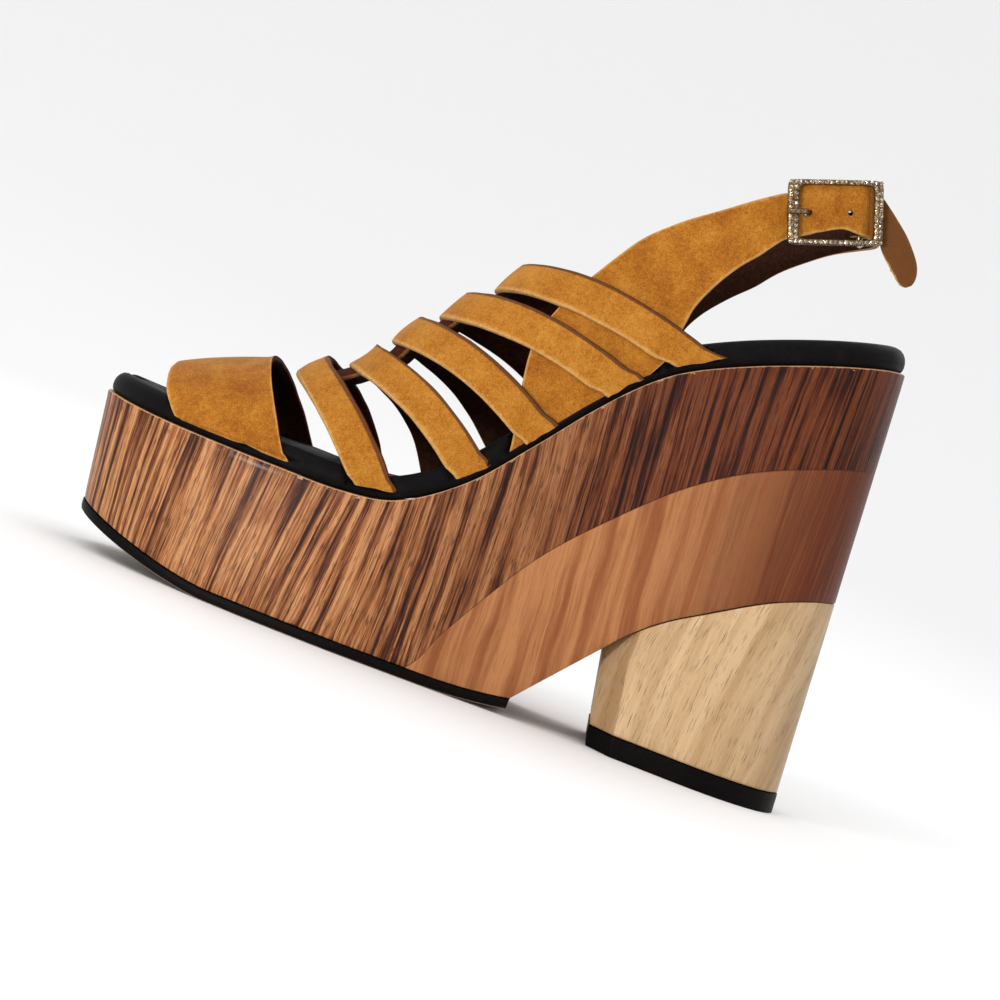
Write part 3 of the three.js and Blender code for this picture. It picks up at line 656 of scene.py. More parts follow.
def new_group(
    name: str, inputs: Mapping[str, tuple[str, Value]], outputs: Sequence[str]
) -> tuple[Nodes, bpy.types.Node, bpy.types.Node]:
    """Starts a shader node group.

    Args:
        name: The group's name.
        inputs: Socket kind and default value by name.
        outputs: Names of its outputs, all numbers.

    Returns:
        The group's nodes, its input node and its output node.
    """
    tree = bpy.data.node_groups.new(name, "ShaderNodeTree")
    for label, (kind, value) in inputs.items():
        socket = tree.interface.new_socket(label, in_out="INPUT", socket_type=kind)
        if kind == "NodeSocketFloat":
            socket.default_value = value
    for label in outputs:
        tree.interface.new_socket(label, in_out="OUTPUT", socket_type="NodeSocketFloat")
    nodes = Nodes(tree)
    return nodes, tree.nodes.new("NodeGroupInput"), tree.nodes.new("NodeGroupOutput")


class Groups:
    """Effects that several materials share."""

    def __init__(self) -> None:
        """Builds every group once."""
        self.grain = self.make_grain()
        self.wear = self.make_wear()
        self.nap = self.make_nap()

    def make_grain(self) -> bpy.types.NodeTree:
        """Wood grain: bands, fibres and pores that run along a board."""
        nodes, given, out = new_group("wood_grain", {
            "Across": ("NodeSocketFloat", 0.0),
            "Along": ("NodeSocketFloat", 0.0),
            "Band": ("NodeSocketFloat", 2.0),
            "Wander": ("NodeSocketFloat", 2.0),
            "Seed": ("NodeSocketFloat", 0.0),
        }, ["Bands", "Fibre", "Pore", "Cloud", "Line"])
        across, along, band, wander, seed = (given.outputs[i] for i in range(5))
        slow = nodes.noise(nodes.join(nodes.times(across, 0.05), nodes.times(along, 0.025), seed), 1.0, 2.0)
        shifted = nodes.swing(slow, wander, across)
        lanes = nodes.join(nodes.math("DIVIDE", shifted, band), nodes.times(along, 0.008), seed)
        wide = nodes.noise(lanes, 1.0, 3.0, 0.62)
        nodes.feed(out.inputs["Bands"], nodes.swing(wide, 2.1, 0.5))
        thin = nodes.join(nodes.times(shifted, 1.25), nodes.times(along, 0.022), nodes.plus(seed, 13.0))
        nodes.feed(out.inputs["Line"], nodes.noise(thin, 1.0, 2.0, 0.55))
        hair = nodes.join(nodes.times(shifted, 4.2), nodes.times(along, 0.12), seed)
        nodes.feed(out.inputs["Fibre"], nodes.noise(hair, 1.0, 3.0, 0.6))
        short = nodes.join(nodes.times(shifted, 2.6), nodes.times(along, 0.2), nodes.plus(seed, 7.0))
        nodes.feed(out.inputs["Pore"], nodes.rise(nodes.noise(short, 1.0, 1.0), 0.6, 0.7))
        cloud = nodes.join(nodes.times(across, 0.06), nodes.times(along, 0.03), nodes.plus(seed, 3.0))
        nodes.feed(out.inputs["Cloud"], nodes.noise(cloud, 1.0, 3.0))
        return nodes.tree

    def make_wear(self) -> bpy.types.NodeTree:
        """Ragged line of wear within a distance of an edge."""
        nodes, given, out = new_group("edge_wear", {
            "Distance": ("NodeSocketFloat", 0.0),
            "Width": ("NodeSocketFloat", 0.5),
            "Place": ("NodeSocketVector", None),
        }, ["Wear", "Chip"])
        distance, width, place = (given.outputs[i] for i in range(3))
        ragged = nodes.noise(place, 0.9, 4.0, 0.7)
        reach = nodes.times(width, nodes.times(ragged, 2.0))
        nodes.feed(out.inputs["Wear"], nodes.rise(nodes.minus(reach, distance), 0.0, 0.25))
        spots = nodes.rise(nodes.noise(place, 0.35, 3.0, 0.6), 0.62, 0.68)
        deep = nodes.rise(nodes.minus(nodes.times(width, 2.6), distance), 0.0, 0.3)
        nodes.feed(out.inputs["Chip"], nodes.times(spots, deep))
        return nodes.tree

    def make_nap(self) -> bpy.types.NodeTree:
        """Suede's nap: brushed patches, mottling and short fibres."""
        nodes, given, out = new_group(
            "suede_nap", {"Place": ("NodeSocketVector", None)}, ["Patch", "Mottle", "Fibre"]
        )
        place = given.outputs[0]
        nodes.feed(out.inputs["Patch"], nodes.noise(place, 0.11, 3.0, 0.6))
        nodes.feed(out.inputs["Mottle"], nodes.noise(place, 0.75, 5.0, 0.72))
        nodes.feed(out.inputs["Fibre"], nodes.noise(place, 2.6, 4.0, 0.7))
        return nodes.tree


def new_material(name: str, viewport: Colour) -> tuple[bpy.types.Material, Nodes, bpy.types.Node]:
    """Starts a material with its shader.

    Args:
        name: The material's name.
        viewport: Its plain colour.

    Returns:
        The material, its nodes and its Principled shader.
    """
    material = bpy.data.materials.new(name)
    material.use_nodes = True
    material.diffuse_color = (*viewport, 1.0)
    nodes = Nodes(material.node_tree)
    shader = material.node_tree.nodes["Principled BSDF"]
    return material, nodes, shader


@dataclass(frozen=True)
class StripedVeneer:
    """Varnished wood veneer of the body: striped forward and up, plain in the band over the heel.

    Places are in millimetres along the shoe, and the colours run from the darkest to the palest.
    """

    stripe: float = 2.1
    band_stripe: float = 4.2
    lean: float = 0.11
    toe_seam: float = 12.0
    inner_join: float = -27.0
    darkens: tuple[float, float] = (-35.0, 62.0)
    band_darkens: tuple[float, float] = (50.0, 104.0)
    edge_wear: float = 0.42
    dark: Colour = (0.022, 0.006, 0.003)
    brown: Colour = (0.078, 0.023, 0.009)
    russet: Colour = (0.195, 0.064, 0.021)
    tan: Colour = (0.320, 0.130, 0.046)
    rose: Colour = (0.450, 0.225, 0.100)
    band_light: Colour = (0.355, 0.150, 0.056)
    band_mid: Colour = (0.205, 0.064, 0.020)
    band_deep: Colour = (0.078, 0.013, 0.004)
    raw: Colour = (0.50, 0.29, 0.155)
    rear_tint: Colour = (0.30, 0.16, 0.11)

    def make(self, groups: Groups) -> bpy.types.Material:
        """Builds the material."""
        material, nodes, shader = new_material("striped_veneer", self.russet)
        lay_u, lay_v, from_top = nodes.split(nodes.lay())
        place = nodes.place()
        x, y, z = nodes.split(place)
        seam_at = nodes.times(nodes.rest(nodes.rise(x, -1.0, 1.0)), self.toe_seam)
        medial = nodes.rise(nodes.minus(y, seam_at), -0.05, 0.05)
        slope = nodes.times(nodes.sign(lay_u, 40.0), self.lean)
        outer = nodes.minus(lay_u, nodes.times(slope, lay_v))
        inner_front = nodes.scaled(lay_v, 0.77, nodes.times(lay_u, 0.64))
        inner_rear = nodes.scaled(lay_v, -0.31, nodes.times(lay_u, 0.95))
        join_at = nodes.scaled(lay_v, 0.12, self.inner_join)
        behind = nodes.rise(nodes.minus(x, join_at), -0.05, 0.05)
        inner = nodes.blend(behind, inner_front, nodes.plus(inner_rear, 140.0))
        across = nodes.blend(medial, outer, nodes.plus(inner, 300.0))
        diagonal = nodes.times(medial, nodes.rest(behind))
        slanting = nodes.minus(nodes.times(lay_v, 0.64), nodes.times(lay_u, 0.77))
        along = nodes.blend(diagonal, lay_v, slanting)
        grain = {"Across": across, "Along": along}
        stripes = nodes.group(groups.grain, **grain, Band=self.stripe, Wander=1.6, Seed=4.0)
        bands, fibre, pore, cloud, line = stripes.outputs
        mixed = nodes.swing(fibre, 0.7, bands)
        mixed = nodes.swing(line, 1.1, mixed)
        mixed = nodes.swing(cloud, 0.7, mixed)
        striped = nodes.ramp(mixed, [
            (0.14, self.dark), (0.30, self.brown), (0.44, self.russet), (0.58, self.tan), (0.74, self.rose),
            (0.86, self.tan),
        ])
        rear = nodes.rise(nodes.swing(cloud, 60.0, x), *self.darkens)
        deep = nodes.mix(rear, (1.0, 1.0, 1.0), self.rear_tint)
        striped = nodes.mix(1.0, striped, deep, "MULTIPLY")
        striped = nodes.mix(nodes.times(nodes.rise(line, 0.56, 0.64), 0.6), striped, self.brown)
        striped = nodes.mix(nodes.times(pore, 0.6), striped, self.dark)
        plain_grain = nodes.group(groups.grain, **grain, Band=self.band_stripe, Wander=3.0, Seed=21.0)
        wide, hair, speck = plain_grain.outputs[0:3]
        front_tone = nodes.mix(nodes.rise(wide, 0.2, 0.7), self.band_mid, self.band_light)
        back = nodes.rise(nodes.swing(wide, 30.0, x), *self.band_darkens)
        plain = nodes.mix(nodes.times(back, 0.95), front_tone, self.band_deep)
        streak = plain_grain.outputs["Line"]
        plain = nodes.mix(nodes.times(nodes.rise(streak, 0.48, 0.66), 0.45), plain, self.band_mid)
        plain = nodes.mix(nodes.times(nodes.rise(hair, 0.45, 0.75), 0.3), plain, self.brown)
        plain = nodes.mix(nodes.times(speck, 0.12), plain, self.brown)
        above = nodes.minus(z, self.joint(nodes, x))
        in_band = nodes.rest(nodes.rise(above, -0.12, 0.12))
        colour = nodes.mix(in_band, striped, plain)
        seam = nodes.rest(nodes.rise(nodes.math("ABSOLUTE", above), 0.10, 0.42))
        from_join = nodes.math("ABSOLUTE", nodes.minus(x, join_at))
        medial_seam = nodes.times(medial, nodes.rest(nodes.rise(from_join, 0.1, 0.45)))
        medial_seam = nodes.times(medial_seam, nodes.rest(in_band))
        seams = nodes.math("MAXIMUM", seam, medial_seam)
        colour = nodes.mix(nodes.times(seams, 0.45), colour, self.dark)
        edge = nodes.group(groups.wear, Distance=from_top, Width=self.edge_wear, Place=place)
        colour = nodes.mix(nodes.times(edge.outputs["Wear"], 0.75), colour, self.raw)
        colour = nodes.mix(nodes.times(edge.outputs["Chip"], 0.7), colour, self.raw)
        nodes.feed(shader.inputs["Base Color"], colour)
        relief = nodes.plus(nodes.times(fibre, 0.7), nodes.times(bands, 0.35))
        relief = nodes.minus(relief, nodes.times(pore, 0.5))
        calm = nodes.minus(nodes.times(hair, 0.4), nodes.times(speck, 0.2))
        height = nodes.blend(in_band, relief, calm)
        height = nodes.minus(height, nodes.times(seams, 0.5))
        nodes.feed(shader.inputs["Normal"], nodes.bump(height, 0.16))
        rough = nodes.scaled(fibre, 0.25, 0.27)
        nodes.feed(shader.inputs["Roughness"], nodes.blend(in_band, rough, nodes.plus(rough, 0.06)))
        shader.inputs["Specular IOR Level"].default_value = 0.05
        shader.inputs["Coat Weight"].default_value = 0.16
        shader.inputs["Coat Roughness"].default_value = 0.26
        return material

    def joint(self, nodes: Nodes, x: Value) -> Socket:
        """Height of the joint between striped and plain veneer at a place along the shoe."""
        low, high, tall = -10.0, 118.0, 120.0
        share = nodes.math("DIVIDE", nodes.minus(x, low), high - low)
        node = nodes.add("ShaderNodeFloatCurve", {"Value": share})
        points = node.mapping.curves[0].points
        count = 17
        spots = [low + (high - low) * i / (count - 1) for i in range(count)]
        while len(points) < count:
            points.new(0.5, 0.5)
        for point, spot in zip(points, spots):
            point.location = ((spot - low) / (high - low), max(BAND_JOINT(spot), 0.0) / tall)
        node.mapping.update()
        return nodes.times(node.outputs[0], tall)


@dataclass(frozen=True)
class PaleOak:
    """Pale oak with short dark pores, satin varnished; its bevelled front corners are painted darker as
    shade.
    """

    light: Colour = (0.485, 0.325, 0.175)
    middle: Colour = (0.355, 0.215, 0.098)
    pore: Colour = (0.13, 0.062, 0.024)
    worn: Colour = (0.24, 0.13, 0.055)
    lean: float = 0.16

    def make(self, groups: Groups) -> bpy.types.Material:
        """Builds the material."""
        material, nodes, shader = new_material("oak_veneer", self.middle)
        lay_u, lay_v, from_end = nodes.split(nodes.lay())
        place = nodes.place()
        slope = nodes.times(nodes.times(nodes.sign(lay_u, 32.0), self.lean), lay_v)
        across = nodes.minus(lay_u, slope)
        wood = nodes.group(groups.grain, Across=across, Along=lay_v, Band=5.0, Wander=4.0, Seed=55.0)
        bands, fibre, pore = wood.outputs[0:3]
        colour = nodes.mix(nodes.rise(bands, 0.2, 0.85), self.middle, self.light)
        colour = nodes.mix(nodes.times(nodes.rise(fibre, 0.52, 0.75), 0.35), colour, self.middle)
        short = nodes.join(nodes.times(across, 2.3), nodes.times(lay_v, 0.10), 9.0)
        long_pore = nodes.rise(nodes.noise(short, 1.0, 2.0, 0.6), 0.60, 0.68)
        marks = nodes.math("MAXIMUM", nodes.times(pore, 0.35), nodes.times(long_pore, 0.6))
        colour = nodes.mix(marks, colour, self.pore)
        # Painted shade: faces turned partly forward, the bevelled front corners, are mixed towards the pore
        # colour as if in shade.
        forward = nodes.times(nodes.split(nodes.add("ShaderNodeTexCoord").outputs["Normal"])[0], -1.0)
        bevel = nodes.times(nodes.rise(forward, 0.3, 0.42), nodes.rest(nodes.rise(forward, 0.9, 0.97)))
        colour = nodes.mix(nodes.times(bevel, 0.35), colour, self.pore)
        edge = nodes.group(groups.wear, Distance=from_end, Width=0.3, Place=place)
        colour = nodes.mix(nodes.times(edge.outputs["Wear"], 0.6), colour, self.worn)
        nodes.feed(shader.inputs["Base Color"], colour)
        height = nodes.minus(nodes.times(fibre, 0.5), nodes.times(marks, 0.8))
        nodes.feed(shader.inputs["Normal"], nodes.bump(height, 0.12))
        nodes.feed(shader.inputs["Roughness"], nodes.scaled(fibre, 0.25, 0.33))
        shader.inputs["Specular IOR Level"].default_value = 0.3
        shader.inputs["Coat Weight"].default_value = 0.06
        shader.inputs["Coat Roughness"].default_value = 0.35
        return material


@dataclass(frozen=True)
class SoleRubber:
    """Black sole rubber, whose underside is scuffed pale where it meets the ground."""

    black: Colour = (0.0018, 0.0013, 0.0012)
    scuff: Colour = (0.016, 0.013, 0.012)
    worn: Colour = (0.245, 0.180, 0.120)
    dirt: Colour = (0.060, 0.050, 0.042)
    wear: float = 1.0

    def make(self, name: str) -> bpy.types.Material:
        """Builds the material under a name."""
        material, nodes, shader = new_material(name, self.black)
        place = nodes.place()
        facing = nodes.split(nodes.add("ShaderNodeTexCoord").outputs["Normal"])[2]
        under = nodes.rise(nodes.times(facing, -1.0), 0.6, 0.85)
        spots = nodes.noise(place, 0.05, 5.0, 0.68)
        fine = nodes.noise(place, 1.1, 4.0, 0.7)
        side = nodes.mix(nodes.rise(fine, 0.55, 0.8), self.black, self.scuff)
        ground = nodes.mix(nodes.rise(spots, 0.50, 0.62), self.worn, self.dirt)
        ground = nodes.mix(nodes.rise(fine, 0.5, 0.8), ground, self.worn)
        drawn_out = nodes.add("ShaderNodeMapping", {"Vector": place, "Scale": (0.12, 1.6, 1.0)})
        scratch = nodes.noise(drawn_out.outputs[0], 1.0, 3.0)
        ground = nodes.mix(nodes.times(nodes.rise(scratch, 0.6, 0.7), 0.5), ground, self.dirt)
        colour = nodes.mix(nodes.times(under, self.wear), side, ground)
        nodes.feed(shader.inputs["Base Color"], colour)
        nodes.feed(shader.inputs["Roughness"], nodes.blend(under, nodes.scaled(fine, 0.25, 0.36), 0.86))
        nodes.feed(shader.inputs["Normal"], nodes.bump(nodes.plus(fine, scratch), 0.1))
        shader.inputs["Specular IOR Level"].default_value = 0.05
        return material


@dataclass(frozen=True)
class BlackLeather:
    """Smooth black leather of the footbed, with a fine grain and a little dust."""

    black: Colour = (0.0018, 0.0013, 0.0013)
    dust: Colour = (0.016, 0.013, 0.013)

    def make(self) -> bpy.types.Material:
        """Builds the material."""
        material, nodes, shader = new_material("black_leather", self.black)
        place = nodes.place()
        cells = nodes.add("ShaderNodeTexVoronoi", {"Vector": place, "Scale": 1.9}, feature="DISTANCE_TO_EDGE")
        grain = nodes.rise(cells.outputs[0], 0.0, 0.16)
        soft = nodes.noise(place, 0.16, 4.0, 0.6)
        specks = nodes.rise(nodes.noise(place, 1.7, 4.0, 0.75), 0.66, 0.78)
        colour = nodes.mix(nodes.times(nodes.rise(soft, 0.45, 0.8), 0.25), self.black, self.dust)
        colour = nodes.mix(nodes.times(specks, 0.35), colour, self.dust)
        nodes.feed(shader.inputs["Base Color"], colour)
        nodes.feed(shader.inputs["Roughness"], nodes.scaled(soft, 0.3, 0.36))
        nodes.feed(shader.inputs["Normal"], nodes.bump(nodes.plus(grain, soft), 0.08))
        shader.inputs["Specular IOR Level"].default_value = 0.07
        return material


@dataclass(frozen=True)
class TanSuede:
    """Brushed tan suede: mottled, with short fibres, paler edges that are a painted highlight and a dark line
    at the rear edge that is a painted shadow.
    """

    deep: Colour = (0.185, 0.050, 0.004)
    tan: Colour = (0.300, 0.106, 0.008)
    gold: Colour = (0.410, 0.186, 0.028)
    pale: Colour = (0.52, 0.30, 0.09)
    rear_shadow: Colour = (0.045, 0.008, 0.004)
    shadow: Colour = (0.085, 0.030, 0.009)
    shift: float = 0.0
    patches: float = 0.6
    dark_from: float = 900.0
    dark_ease: float = 10.0
    shadow_line_width: tuple[float, float] = (0.95, 1.45)

    def make(self, name: str, groups: Groups) -> bpy.types.Material:
        """Builds the material under a name."""
        material, nodes, shader = new_material(name, self.tan)
        place = nodes.place()
        from_edge, along, from_rear = nodes.split(nodes.lay())
        patch, mottle, fibre = nodes.group(groups.nap, Place=place).outputs
        tone = nodes.swing(patch, self.patches, 0.46 + self.shift)
        tone = nodes.swing(mottle, 0.8, tone)
        tone = nodes.swing(fibre, 1.5, tone)
        colour = nodes.ramp(tone, [(0.12, self.deep), (0.46, self.tan), (0.82, self.gold)])
        # Painted highlight: the suede turns paler within a ragged reach of every edge, where the rounded
        # edges catch the light.
        reach = nodes.scaled(mottle, 1.6, 0.1)
        rim = nodes.rest(nodes.rise(nodes.minus(from_edge, reach), -0.7, 0.5))
        colour = nodes.mix(nodes.times(rim, 0.5), colour, self.pale)
        uneven = nodes.scaled(patch, 8.0, along)
        shaded = nodes.rise(uneven, self.dark_from, self.dark_from + self.dark_ease)
        colour = nodes.mix(nodes.times(shaded, 0.9), colour, self.shadow)
        # Painted shadow: a dark burgundy line along the rear edge, standing in for the shade of the gap
        # behind the strap.
        rear_shadow_line = nodes.rest(nodes.rise(from_rear, *self.shadow_line_width))
        colour = nodes.mix(nodes.times(rear_shadow_line, 0.85), colour, self.rear_shadow)
        nodes.feed(shader.inputs["Base Color"], colour)
        height = nodes.plus(nodes.times(fibre, 0.8), nodes.times(mottle, 0.6))
        nodes.feed(shader.inputs["Normal"], nodes.bump(height, 0.22))
        nodes.feed(shader.inputs["Roughness"], nodes.scaled(mottle, 0.1, 0.86))
        shader.inputs["Specular IOR Level"].default_value = 0.15
        shader.inputs["Sheen Weight"].default_value = 0.14
        shader.inputs["Sheen Roughness"].default_value = 0.45
        shader.inputs["Sheen Tint"].default_value = (1.0, 0.72, 0.38, 1.0)
        return material


@dataclass(frozen=True)
class StrapTrim:
    """Plain leather seen at a strap's cut edge or on its lining."""

    base: Colour
    light: Colour
    rough: float = 0.75
    scale: float = 1.4

    def make(self, name: str, groups: Groups) -> bpy.types.Material:
        """Builds the material under a name."""
        material, nodes, shader = new_material(name, self.base)
        place = nodes.place()
        patch, mottle, fibre = nodes.group(groups.nap, Place=place).outputs
        rubbed = nodes.scaled(fibre, 0.5, nodes.times(mottle, 0.5))
        colour = nodes.mix(nodes.rise(rubbed, 0.35, 0.7), self.base, self.light)
        nodes.feed(shader.inputs["Base Color"], colour)
        nodes.feed(shader.inputs["Roughness"], nodes.scaled(patch, 0.2, self.rough - 0.1))
        nodes.feed(shader.inputs["Normal"], nodes.bump(nodes.times(fibre, self.scale), 0.08))
        shader.inputs["Specular IOR Level"].default_value = 0.04
        return material


@dataclass(frozen=True)
class OldGold:
    """Antique gold, darkened with patina in patches."""

    gold: Colour = (0.13, 0.080, 0.040)
    bright: Colour = (0.34, 0.25, 0.14)
    patina: Colour = (0.045, 0.028, 0.018)
    darkness: float = 0.5
    rough: float = 0.3

    def make(self, name: str) -> bpy.types.Material:
        """Builds the material under a name."""
        material, nodes, shader = new_material(name, self.gold)
        place = nodes.place()
        spots = nodes.noise(place, 1.1, 4.0, 0.7)
        shine = nodes.noise(place, 2.3, 2.0, 0.5)
        colour = nodes.mix(nodes.rise(shine, 0.42, 0.66), self.gold, self.bright)
        dull = nodes.times(nodes.rise(spots, 0.42, 0.62), self.darkness)
        colour = nodes.mix(dull, colour, self.patina)
        nodes.feed(shader.inputs["Base Color"], colour)
        nodes.feed(shader.inputs["Roughness"], nodes.scaled(dull, 0.4, self.rough - 0.1))
        nodes.feed(shader.inputs["Normal"], nodes.bump(spots, 0.12))
        shader.inputs["Metallic"].default_value = 1.0
        return material


@dataclass(frozen=True)
class Finishes:
    """Every material of the sandal."""

    veneer: bpy.types.Material
    oak: bpy.types.Material
    outsole: bpy.types.Material
    top_lift: bpy.types.Material
    leather: bpy.types.Material
    strap_suede: bpy.types.Material
    quarter_suede: bpy.types.Material
    toe_suede: bpy.types.Material
    cut_edge: bpy.types.Material
    dark_edge: bpy.types.Material
    strip_edge: bpy.types.Material
    lining: bpy.types.Material
    gold: bpy.types.Material
    stone: bpy.types.Material

    @classmethod
    def make(cls) -> Finishes:
        """Builds them all."""
        groups = Groups()
        stone = OldGold(gold=(0.22, 0.15, 0.09), bright=(0.80, 0.70, 0.54), darkness=0.85, rough=0.16)
        return cls(
            veneer=StripedVeneer().make(groups),
            oak=PaleOak().make(groups),
            outsole=SoleRubber().make("outsole_rubber"),
            top_lift=SoleRubber(worn=(0.09, 0.075, 0.065), wear=0.7).make("top_lift_rubber"),
            leather=BlackLeather().make(),
            strap_suede=TanSuede(shift=0.06).make("strap_suede", groups),
            quarter_suede=TanSuede(shift=-0.05, patches=0.8, dark_from=136.0).make("quarter_suede", groups),
            toe_suede=TanSuede(shift=-0.08, patches=0.9).make("toe_suede", groups),
            cut_edge=StrapTrim((0.34, 0.16, 0.04), (0.56, 0.34, 0.14), 0.9).make("cut_edge", groups),
            # Painted shade: a dark copy of the cut edge for the straps' rear edges and the instep strip's
            # outer face, which lie in shade.
            dark_edge=StrapTrim((0.028, 0.005, 0.003), (0.08, 0.018, 0.007), 0.8).make("dark_edge", groups),
            strip_edge=StrapTrim((0.10, 0.035, 0.012), (0.22, 0.09, 0.03), 0.8).make("strip_edge", groups),
            lining=StrapTrim((0.012, 0.004, 0.002), (0.046, 0.015, 0.007), 0.6, 0.5).make("lining", groups),
            gold=OldGold().make("old_gold"),
            stone=stone.make("stone"),
        )


# ------------------------------------------------------------------------------- the sole
LevelRow = tuple[float, float, float]


def side_levels(edge: float, count: int) -> list[LevelRow]:
    """Levels of an upright side with rounded edges, from the underside up.

    Args:
        edge: Radius of the rounded edges.
        count: Steps between them.

    Returns:
        Share of the height, inset and drop of every level.
    """
    part = edge * 0.3
    under = [(0.0, edge, 0.0), (0.0, part, part), (0.0, 0.0, edge)]
    over = [(1.0, 0.0, -edge), (1.0, part, -part), (1.0, edge, 0.0)]
    return under + [(i / count, 0.0, 0.0) for i in range(1, count)] + over


@dataclass
class Body:
    """Wooden body of the platform: a veneered wedge from toe to heel.

    A rib is a share of the length, its top's place along the shoe and its foot's. Within the nose
    the grain follows the outline at each height, and behind it the ribs.
    """

    columns: tuple[int, int, int] = (52, 96, 40)
    rows: int = 12
    side_levels: int = 16
    round_edge: float = 0.45
    nose: tuple[float, float] = (12.0, 45.0)
    ribs: tuple[tuple[float, float, float], ...] = (
        (0.0, -116.2, -110.6), (0.36, -38.0, -38.0), (0.56, 4.0, 16.0), (0.62, 13.0, 30.3),
        (0.72, 33.0, 50.4), (1.0, 105.5, 110.8),
    )

    def stations(self) -> list[float]:
        """Shares of the length, with one at each corner of the underside."""
        places = rounded_places(*self.columns)
        for corner in (self.ribs[3][0], self.ribs[4][0]):
            nearest = min(range(len(places)), key=lambda i: abs(places[i] - corner))
            places[nearest] = corner
        return places

    def rib_at(self, at: float) -> tuple[float, float]:
        """Places of a rib's top and foot along the shoe."""
        i = 0
        while i < len(self.ribs) - 2 and at > self.ribs[i + 1][0]:
            i += 1
        low, high = self.ribs[i], self.ribs[i + 1]
        t = (at - low[0]) / (high[0] - low[0])
        top = low[1] + (high[1] - low[1]) * t
        foot = low[2] + (high[2] - low[2]) * t
        front, rear = FORM.toe_tip(FORM.toe_spring), FORM.heel_tip(FORM.heel_joint_rear)
        return top, min(max(foot, front), rear)

    def build(self, finishes: Finishes) -> bpy.types.Object:
        """Builds the body and dresses it."""
        stations, levels = self.stations(), side_levels(self.round_edge, self.side_levels)
        counts = (len(stations) - 1, self.rows, len(levels) - 1)
        girth = {side: self.girth(stations, side) for side in Side}
        own = {side: [self.girth(stations, side, level[0]) for level in levels] for side in Side}
        block = unit_block("veneered_body", *counts)

        def place(i: int, j: int, k: int) -> tuple[Vector, Vector]:
            """Place of a point of the body."""
            share = -1 + 2 * j / self.rows
            side = Side.LATERAL if share < 0 else Side.MEDIAL
            height, inset, drop = levels[k]
            top, foot = self.rib_at(stations[i])
            x = foot + (top - foot) * height
            low, high = FORM.underside_at(foot), TOP(top)
            z = low + (high - low) * height
            inset += max(0.0, waver(girth[side][i] * 0.5, 3.0 + height, 0.5) - 0.12) if inset > 0 else 0.0
            ex, ey = FORM.edge(x, z, side, inset)
            point = Vector((ex, abs(share) * ey, z + drop))
            if 0 < k < counts[2]:
                point.y = ey if share else 0.0
            near = own[side][k][i]
            round_toe = girth[side][i] + (near - girth[side][i]) * (1 - smoothstep(*self.nose, near))
            lie = Vector((side.value * round_toe if share else 0.0, z + drop, high - z - drop))
            return point, lie

        lay(block, counts, place, {})
        tidy(block, 38.0, 0.02)
        fit(block, [finishes.veneer], ["platform"])
        return block

    def girth(self, stations: Sequence[float], side: Side, height: float = 1.0) -> list[float]:
        """Distance round the outline from the toe to every station.

        Args:
            stations: Shares of the length.
            side: Which side of the shoe.
            height: Share of the body's height at which the outline is followed.

        Returns:
            The distances, in the order of the stations.
        """
        total, before, result = 0.0, None, []
        for at in stations:
            top, foot = self.rib_at(at)
            x, low = foot + (top - foot) * height, FORM.underside_at(foot)
            here = Vector((x, FORM.half_width(x, low + (TOP(top) - low) * height, side)))
            total += (here - before).length if before else here.y
            before = here
            result.append(total)
        return result


@dataclass
class Outsole:
    """Thin forefoot sole, curved up at the toe and worn underneath."""

    thickness: float = 3.0
    proud: float = 0.35
    columns: int = 110
    rows: int = 12
    crowd: float = 2.1

    def build(self, finishes: Finishes) -> bpy.types.Object:
        """Builds the sole and dresses it."""
        high = self.thickness
        layers = [(0.55, 0.0), (0.12, 0.25), (0.0, 0.8), (0.0, 1.7), (0.1, high - 0.3), (0.3, high)]
        counts = (self.columns, self.rows, len(layers) - 1)
        block = unit_block("forefoot_sole", *counts)
        toe = FORM.toe_tip(FORM.toe_spring)

        def place(i: int, j: int, k: int) -> tuple[Vector, Vector]:
            """Place of a point of the sole."""
            inset, rise = layers[k]
            x = toe + (FORM.outsole_end - toe) * (i / self.columns) ** self.crowd
            share = -1 + 2 * j / self.rows
            side = Side.LATERAL if share < 0 else Side.MEDIAL
            z = FORM.sole_at(x) + rise
            ex, ey = FORM.edge(x, z, side, inset - self.proud)
            point = Vector((min(ex, FORM.outsole_end), abs(share) * ey, FORM.sole_at(ex) + rise))
            return point, Vector((x, share, rise))

        lay(block, counts, place, {})
        tidy(block, 40.0, 0.02)
        fit(block, [finishes.outsole], ["outsole"])
        return block


